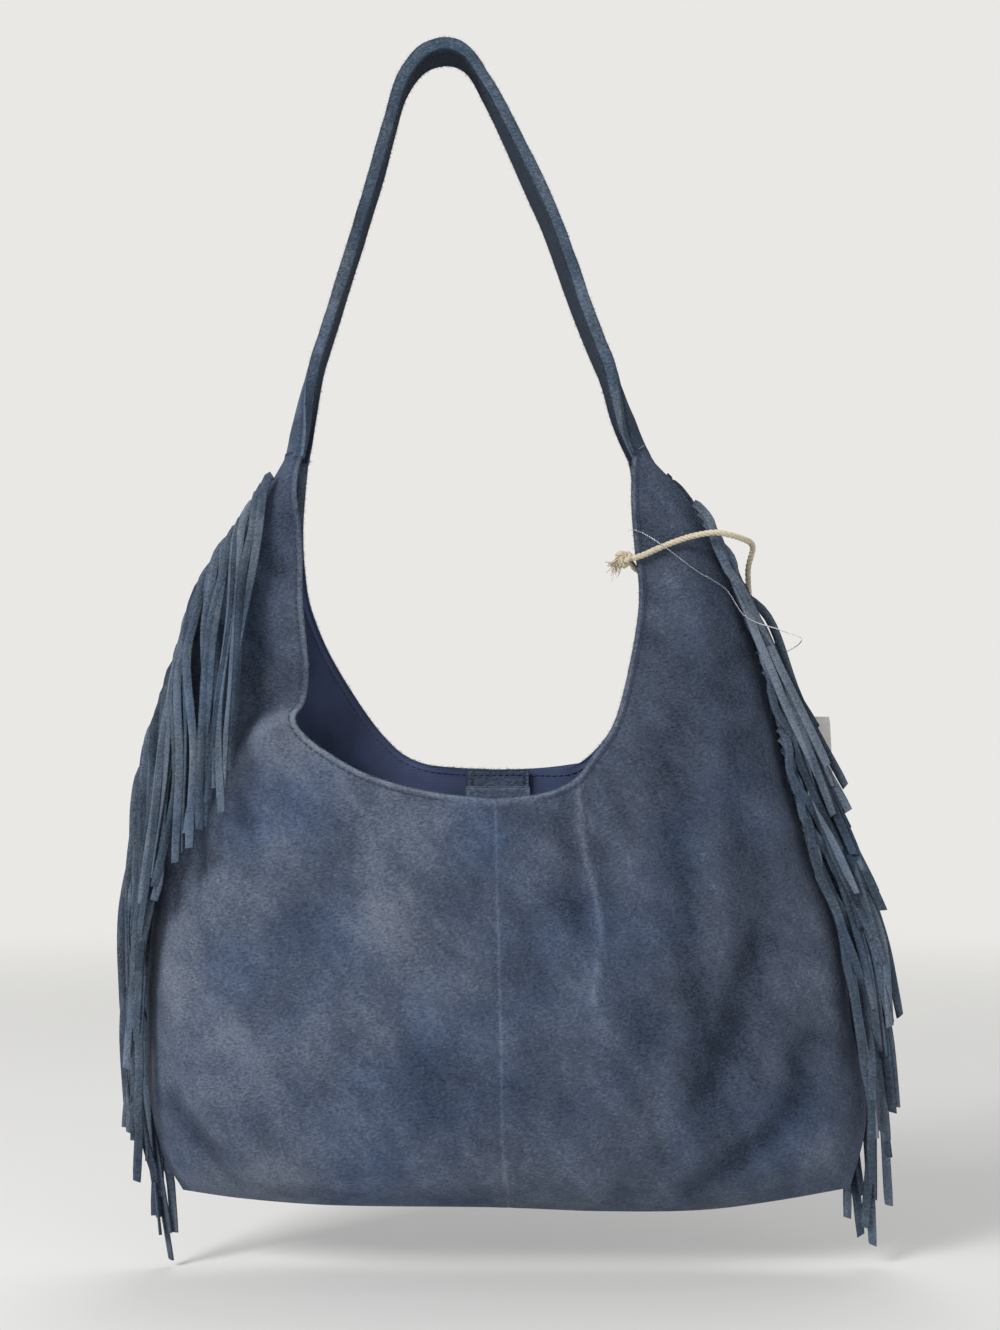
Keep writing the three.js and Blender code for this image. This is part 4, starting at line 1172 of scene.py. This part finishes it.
def thong(side, number):
    distance = fringeCut["start"] + (number + 0.5) * fringeCut["run"] / fringeCut["thongs"]
    place, length, rank, chance, root = thongPath(side, distance, number)
    stations = 30
    shares = np.linspace(0, 1, stations) ** 1.25
    flat = place(shares)
    half = fringeCut["width"] / 2
    spread = place(np.clip(shares[:, None] + np.linspace(-0.08, 0.08, 5), 0, 1))
    stacked = 1 if side == right else float(smoothstep(number / fringeCut["thongs"], 0.2, 0.4))
    loose = chance.uniform(*fringeCut["loose"])
    nearby = [(x, z, root[1] - z) for x, z in np.moveaxis(spread, (1, 2), (0, 1))]
    forward = np.min([thongForward(*spot, rank, stacked, loose) for spot in nearby], axis=0)
    if number >= behindFrom or (side == right and number < tuckedFirst):
        walls = np.max([wallY(back, x, z) for x, z, fallen in nearby], axis=0)
        fallen = root[1] - flat[:, 1]
        forward = smoothstep(fallen, 0.4, 8) * (walls + 1.0 + rank * 1.3)
    line = np.stack([flat[:, 0], forward, flat[:, 1]], -1)
    tangent = np.gradient(line, axis=0)
    tangent /= np.linalg.norm(tangent, axis=1, keepdims=True)
    sideways = np.cross(tangent, (0, -1, 0))
    sideways /= np.linalg.norm(sideways, axis=1, keepdims=True)
    outward = np.cross(sideways, tangent)
    whole, growing = fringeCut["turn"]
    turn = (chance.normal(0, whole) + chance.normal(0, growing) * shares) * smoothstep(shares, 0.03, 0.25)
    turn = np.radians(turn + chance.normal(0, 8) * np.sin(shares * 7 + chance.uniform(0, 6)) * shares)
    c, s = np.cos(turn)[:, None], np.sin(turn)[:, None]
    sideways, outward = sideways * c + outward * s, outward * c - sideways * s
    thick = fringeCut["thickness"] / 2
    wide = half * (1 - 0.012 * (number % 3)) * (1 + 0.03 * np.sin(shares * 11 + number))
    cupped, stray = fringeCut["cup"]
    cup = chance.normal(0, stray) + cupped
    taper = mix(1, 0.9, smoothstep(shares, 0.99, 1.0))
    rings = []
    for u, v in thongSection:
        rise = v * thick - cup * u * u
        rings.append(line + sideways * (u * wide * taper)[:, None] + outward * rise)
    ring = np.stack(rings, 1)
    slant = chance.uniform(-fringeCut["slant"], fringeCut["slant"])
    widths = np.array([u for u, v in thongSection])
    ring[-1] += tangent[-1] * (widths * slant * fringeCut["width"])[:, None]
    points = ring.reshape(-1, 3)
    base = float(np.clip(chance.normal(0, fringeCut["toneStray"]), -0.3, 0.3))
    # Painted shade on each thong's narrow sides, between the thongs, and a painted highlight along its
    # rounded edges
    edges = np.where(np.abs(widths) > 0.9, -0.22, np.where(np.abs(widths) > 0.5, 0.1, 0.0))
    lengthwise = 0.06 * np.sin(shares * 5 + number) + 0.06 * smoothstep(shares, 0.9, 1)
    tone = base + edges + lengthwise[:, None]
    faces, caps = closedRings(stations, len(thongSection))
    turned = volumeOf(points, faces) < 0
    faces = [tuple(f) for f in faces] + caps
    return points, [f[::-1] for f in faces] if turned else faces, tone.ravel()


def fringeHeader(side):
    distances = np.linspace(fringeCut["start"] - 1, fringeCut["start"] + fringeCut["run"] + 1, 150)
    at = seamAt[side](distances)
    ahead = seamAt[side](distances + 1) - at
    ahead /= np.hypot(ahead[:, 0], ahead[:, 1])[:, None]
    out = np.stack([-side * ahead[:, 1], side * ahead[:, 0]], -1)
    beyond = smoothstep(distances - distances[0], 2, 14)[:, None]
    reaches = (-6.5, -3, 0.01, 1.4, 2.2)
    net = np.stack([at + out * reach * (beyond if reach > 0 else 1) for reach in reaches], 1)
    thick = fringeCut["thickness"] / 2
    layers = [np.insert(net, 1, y, axis=-1) for y in (-thick, thick)]
    points, faces = thickSheet(layers[0], layers[1], 0.2, 1)
    return points, [tuple(f) for f in facingOut(points, faces)]


def fringe(side):
    name = "fringe_" + sideNames[side]
    header = fringeHeader(side)
    parts, tones = [header], [np.full(len(header[0]), -0.1)]
    for number in range(fringeCut["thongs"]):
        points, faces, tone = thong(side, number)
        parts.append((points, faces))
        tones.append(tone)
    points, faces = gathered(parts)
    made = meshPiece(name + "_thongs", points, faces, fringeSuede, tone=np.concatenate(tones))
    return belongs(made, "suede", name)


fringes = {side: fringe(side) for side in (left, right)}
print("fringes made")


# Snap closure: a suede patch and a snap half inside the middle of each rim

patchCut = {
    "x": 28.5,
    "width": 35,
    "height": 36,
    "suede": 1.2,
    "sewn": 2.6,  # from its edge to its stitches
    "over": {front: 6.5, back: -0.5},  # how far its top stands above the rim
    "snapAt": {front: -14, back: -19},
}
# Radius and height, from the middle of the foot round to the middle of the top: stud and socket
snapProfiles = {
    front: [
        (0.02, 0), (8.3, 0), (8.5, 0.25), (8.5, 1.1), (8.3, 1.6), (7.6, 2.0), (5.2, 2.05), (4.4, 1.9),
        (3.9, 2.1), (3.6, 2.5), (3.75, 3.2), (3.6, 3.9), (2.9, 4.3), (0.02, 4.4),
    ],
    back: [
        (0.02, 0), (8.3, 0), (8.5, 0.25), (8.5, 1.5), (8.2, 2.2), (7.5, 2.6), (5.4, 2.65), (4.6, 2.5),
        (4.2, 2.3), (4.0, 1.6), (3.9, 0.65), (0.02, 0.6),
    ],
}


def patchLayer(face, x, z, raised):
    depth = bag["suede"] + bag["liningEase"] + bag["lining"] + 0.3 + raised
    return wallY(face, x, z, liningInset + bag["lining"], depth)


def snapPatch(face):
    name = "snap_patch_" + faceNames[face]
    top = scoopZ(face) + patchCut["over"][face]
    half = patchCut["width"] / 2
    x = patchCut["x"] + np.linspace(-half, half, 40)
    z = top - np.linspace(0, patchCut["height"], 40)
    x, z = np.meshgrid(x, z)
    soft = 0.18 * unevenness(x, z, 12, 51)
    fromEnds = np.minimum(top - z, z - top + patchCut["height"])
    fromEdge = np.minimum(half - np.abs(x - patchCut["x"]), fromEnds)
    stitchLine = 0.3 * bump(fromEdge - patchCut["sewn"], 0.7)
    layers = []
    for raised, relief in ((0, 0 * x), (patchCut["suede"], soft - stitchLine)):
        y = patchLayer(face, x, z, raised) - face * relief
        layers.append(np.stack([x, y, z], -1))
    points, faces = thickSheet(layers[1], layers[0], 0.3, 2)
    # Lighter at the cut edge; painted shade in the groove of the stitch line
    tone = (0.15 * bump(fromEdge, 1.2) - 0.4 * stitchLine).ravel()
    tones = np.concatenate([tone, tone, np.full(len(points) - 2 * len(tone), 0.2)])
    made = meshPiece(name + "_suede", points, facingOut(points, faces), suede, tone=tones)
    return belongs(made, "suede", name)


def snapHalf(face):
    name = "snap_stud" if face == front else "snap_socket"
    x, z = patchCut["x"], scoopZ(face) + patchCut["snapAt"][face]
    raised = patchCut["suede"] + 0.3
    middle = np.array((x, float(patchLayer(face, x, z, raised)), z))
    slopeX = (patchLayer(face, x + 4, z, raised) - patchLayer(face, x - 4, z, raised)) / 8
    slopeZ = (patchLayer(face, x, z + 4, raised) - patchLayer(face, x, z - 4, raised)) / 8
    inward = np.array((slopeX, -1.0, slopeZ)) * face
    inward /= np.linalg.norm(inward)
    sideways = np.cross(inward, (0, 0, 1))
    sideways /= np.linalg.norm(sideways)
    up = np.cross(sideways, inward)
    sides = 48
    angles = np.linspace(0, 2 * math.pi, sides, endpoint=False)[:, None]
    ring = np.cos(angles) * sideways + np.sin(angles) * up
    profile = snapProfiles[face]
    points = np.vstack([middle + inward * height + ring * radius for radius, height in profile])
    faces, caps = closedRings(len(profile), sides)
    faces = [tuple(f) for f in facingOut(points, faces)]
    made = meshPiece(name + "_nickel", points, faces + caps, nickel)
    return belongs(made, "snap_metal", name)


for face in (front, back):
    snapPatch(face)
for face in (front, back):
    snapHalf(face)
print("closure made")


# Sewing thread: a row of stitches inside each rim and round each patch

stitchCut = {
    "pitch": 3.5,
    "long": 2.5,
    "radius": 0.32,  # thicker than the real thread, so that it shows
    "in": 3.5,
    "patchPitch": 3.6,
    "patchLong": 2.2,
}


def stitch(start, end, out):
    middle = mix(start, end, 0.5) + out * 0.12
    lifted = [mix(tip, middle, 0.4) + out * 0.1 for tip in (start, end)]
    line = [start - out * 0.35, lifted[0], middle, lifted[1], end - out * 0.35]
    return tubeAlong(line, stitchCut["radius"], 6)


def rimStitches(face):
    parts = []
    for side in (left, right):
        rim = rimLine(face, side)
        place, length = alongLine(rim)
        count = int(length / stitchCut["pitch"])
        for n in range(2, count - 1):
            ends = []
            for step in (0, stitchCut["long"]):
                share = (n * stitchCut["pitch"] + step) / length
                at = place(share)
                ahead = place(min(share + 0.004, 1)) - place(max(share - 0.004, 0))
                ahead /= np.hypot(*ahead)
                away = np.array((ahead[1], -ahead[0])) * -side
                ends.append(at + away * stitchCut["in"])
            ends = np.array(ends)
            x, z = ends.T
            relief = reliefOf(face, x, z) + rimRelief(x, z, distanceTo(x, z, rim)[0])
            y = wallY(face, x, z) + face * (relief + 0.1)
            start, end = np.stack([x, y, z], -1)
            parts.append(stitch(start, end, np.array((0.0, face, 0.0))))
            inner = patchLayer(face, x, z, -0.25) + face * relief
            start, end = np.stack([x, inner, z], -1)
            parts.append(stitch(start, end, np.array((0.0, -face, 0.0))))
    return parts


def patchStitches(face):
    top = scoopZ(face) + patchCut["over"][face]
    inset = patchCut["sewn"]
    half, high = patchCut["width"] / 2 - inset, patchCut["height"] - 2 * inset
    corners = np.array([(-half, 0), (half, 0), (half, -high), (-half, -high), (-half, 0)])
    corners = corners + (patchCut["x"], top - inset)
    place, length = alongLine(corners)
    parts = []
    pitch = stitchCut["patchPitch"]
    for n in range(int(length / pitch)):
        begin = n * pitch + 0.6
        x, z = place(np.array((begin, begin + stitchCut["patchLong"])) / length).T
        y = patchLayer(face, x, z, patchCut["suede"] + 0.05)
        start, end = np.stack([x, y, z], -1)
        parts.append(stitch(start, end, np.array((0.0, -face, 0.0))))
    return parts


for face in (front, back):
    points, faces = gathered(rimStitches(face))
    belongs(meshPiece("rim_stitches_" + faceNames[face], points, faces, sewingThread), "suede")
    points, faces = gathered(patchStitches(face))
    belongs(meshPiece("patch_stitches_" + faceNames[face], points, faces, sewingThread), "suede")
print("stitches made")


# Sheets: each panel's and lining's area is set against a pattern piece's width and height, in metres, and
# nothing is kept


def flatArea(made):
    mesh = made.data
    areas = np.zeros(len(mesh.polygons))
    mesh.polygons.foreach_get("area", areas)
    return areas.sum() / 2


for panel in panels.values():
    min(flatArea(panel), 0.26 * 0.45)
for made in linings.values():
    min(flatArea(made), 0.46 * 0.4)


# Pale floor and soft studio light

studio = {
    "floor": "#e9e8e5",
    "floorSize": 4000,
    "floorFade": (0.75, 2.2),  # metres from the middle over which the floor gives way to the background
    "clear": 4,  # the bag hangs, its longest thongs this far above the floor
    "sky": "#f4f5f7",
    "skyStrength": 0.42,
    "aim": (0.03, 0, -0.35),
    "lights": [  # name, place, size in metres and watts
        ("key", (-1.5, -1.5, 0.9), (0.9, 0.9), 46),
        ("fill", (1.6, -1.5, 0.1), (1.4, 1.4), 7),
        ("top", (0.3, 0.5, 1.5), (1.5, 1.0), 12),
    ],
}


def plainStage():
    size = studio["floorSize"]
    lowest = min(vertex.co.z for piece in fringes.values() for vertex in piece.data.vertices)
    z = lowest * 1000 - studio["clear"]
    points = [(-size, -size, z), (size, -size, z), (size, size, z), (-size, size, z)]
    material, tree, shader, place = newMaterial("pale floor")
    shader.inputs["Base Color"].default_value = colourOf(studio["floor"])
    shader.inputs["Roughness"].default_value = 0.9
    shader.inputs["Specular IOR Level"].default_value = 0.1
    gone = addNode(tree, "ShaderNodeVectorMath", {0: place}, operation="LENGTH").outputs[1]
    near, far = studio["floorFade"]
    inputs = {0: gone, 1: near, 2: far}
    fade = addNode(tree, "ShaderNodeMapRange", inputs, interpolation_type="SMOOTHSTEP").outputs[0]
    bare = addNode(tree, "ShaderNodeBsdfTransparent").outputs[0]
    mixed = addNode(tree, "ShaderNodeMixShader", {0: fade, 1: shader.outputs[0], 2: bare})
    output = next(n for n in tree.nodes if n.bl_idname == "ShaderNodeOutputMaterial")
    tree.links.new(mixed.outputs[0], output.inputs["Surface"])
    floor = meshPiece("floor", points, [(0, 1, 2, 3)], material, smooth=False)


def areaLight(name, place, size, watts):
    data = bpy.data.lights.new(name, "AREA")
    data.energy, data.size, data.size_y, data.shape = watts, size[0], size[1], "RECTANGLE"
    made = bpy.data.objects.new(name, data)
    made.location = place
    made.rotation_euler = (Vector(studio["aim"]) - Vector(place)).to_track_quat("-Z", "Y").to_euler()
    bpy.context.scene.collection.objects.link(made)


plainStage()
for light in studio["lights"]:
    areaLight(*light)

world = bpy.data.worlds.new("soft studio light")
world.use_nodes = True
bpy.context.scene.world = world
tree = world.node_tree
tree.nodes.clear()
seen = addNode(tree, "ShaderNodeLightPath")
lit = addNode(tree, "ShaderNodeBackground", {
    "Color": colourOf(studio["sky"]), "Strength": studio["skyStrength"],
})
shown = addNode(tree, "ShaderNodeBackground", {"Color": colourOf(studio["floor"]), "Strength": 1.0})
rays = [(seen.outputs[f"Is {kind} Ray"], 1.0) for kind in ("Camera", "Glossy", "Transmission")]
inputs = {0: weighed(tree, rays), 1: lit.outputs[0], 2: shown.outputs[0]}
chosen = addNode(tree, "ShaderNodeMixShader", inputs)
addNode(tree, "ShaderNodeOutputWorld", {"Surface": chosen.outputs[0]})
bpy.context.scene.view_settings.view_transform = "Standard"
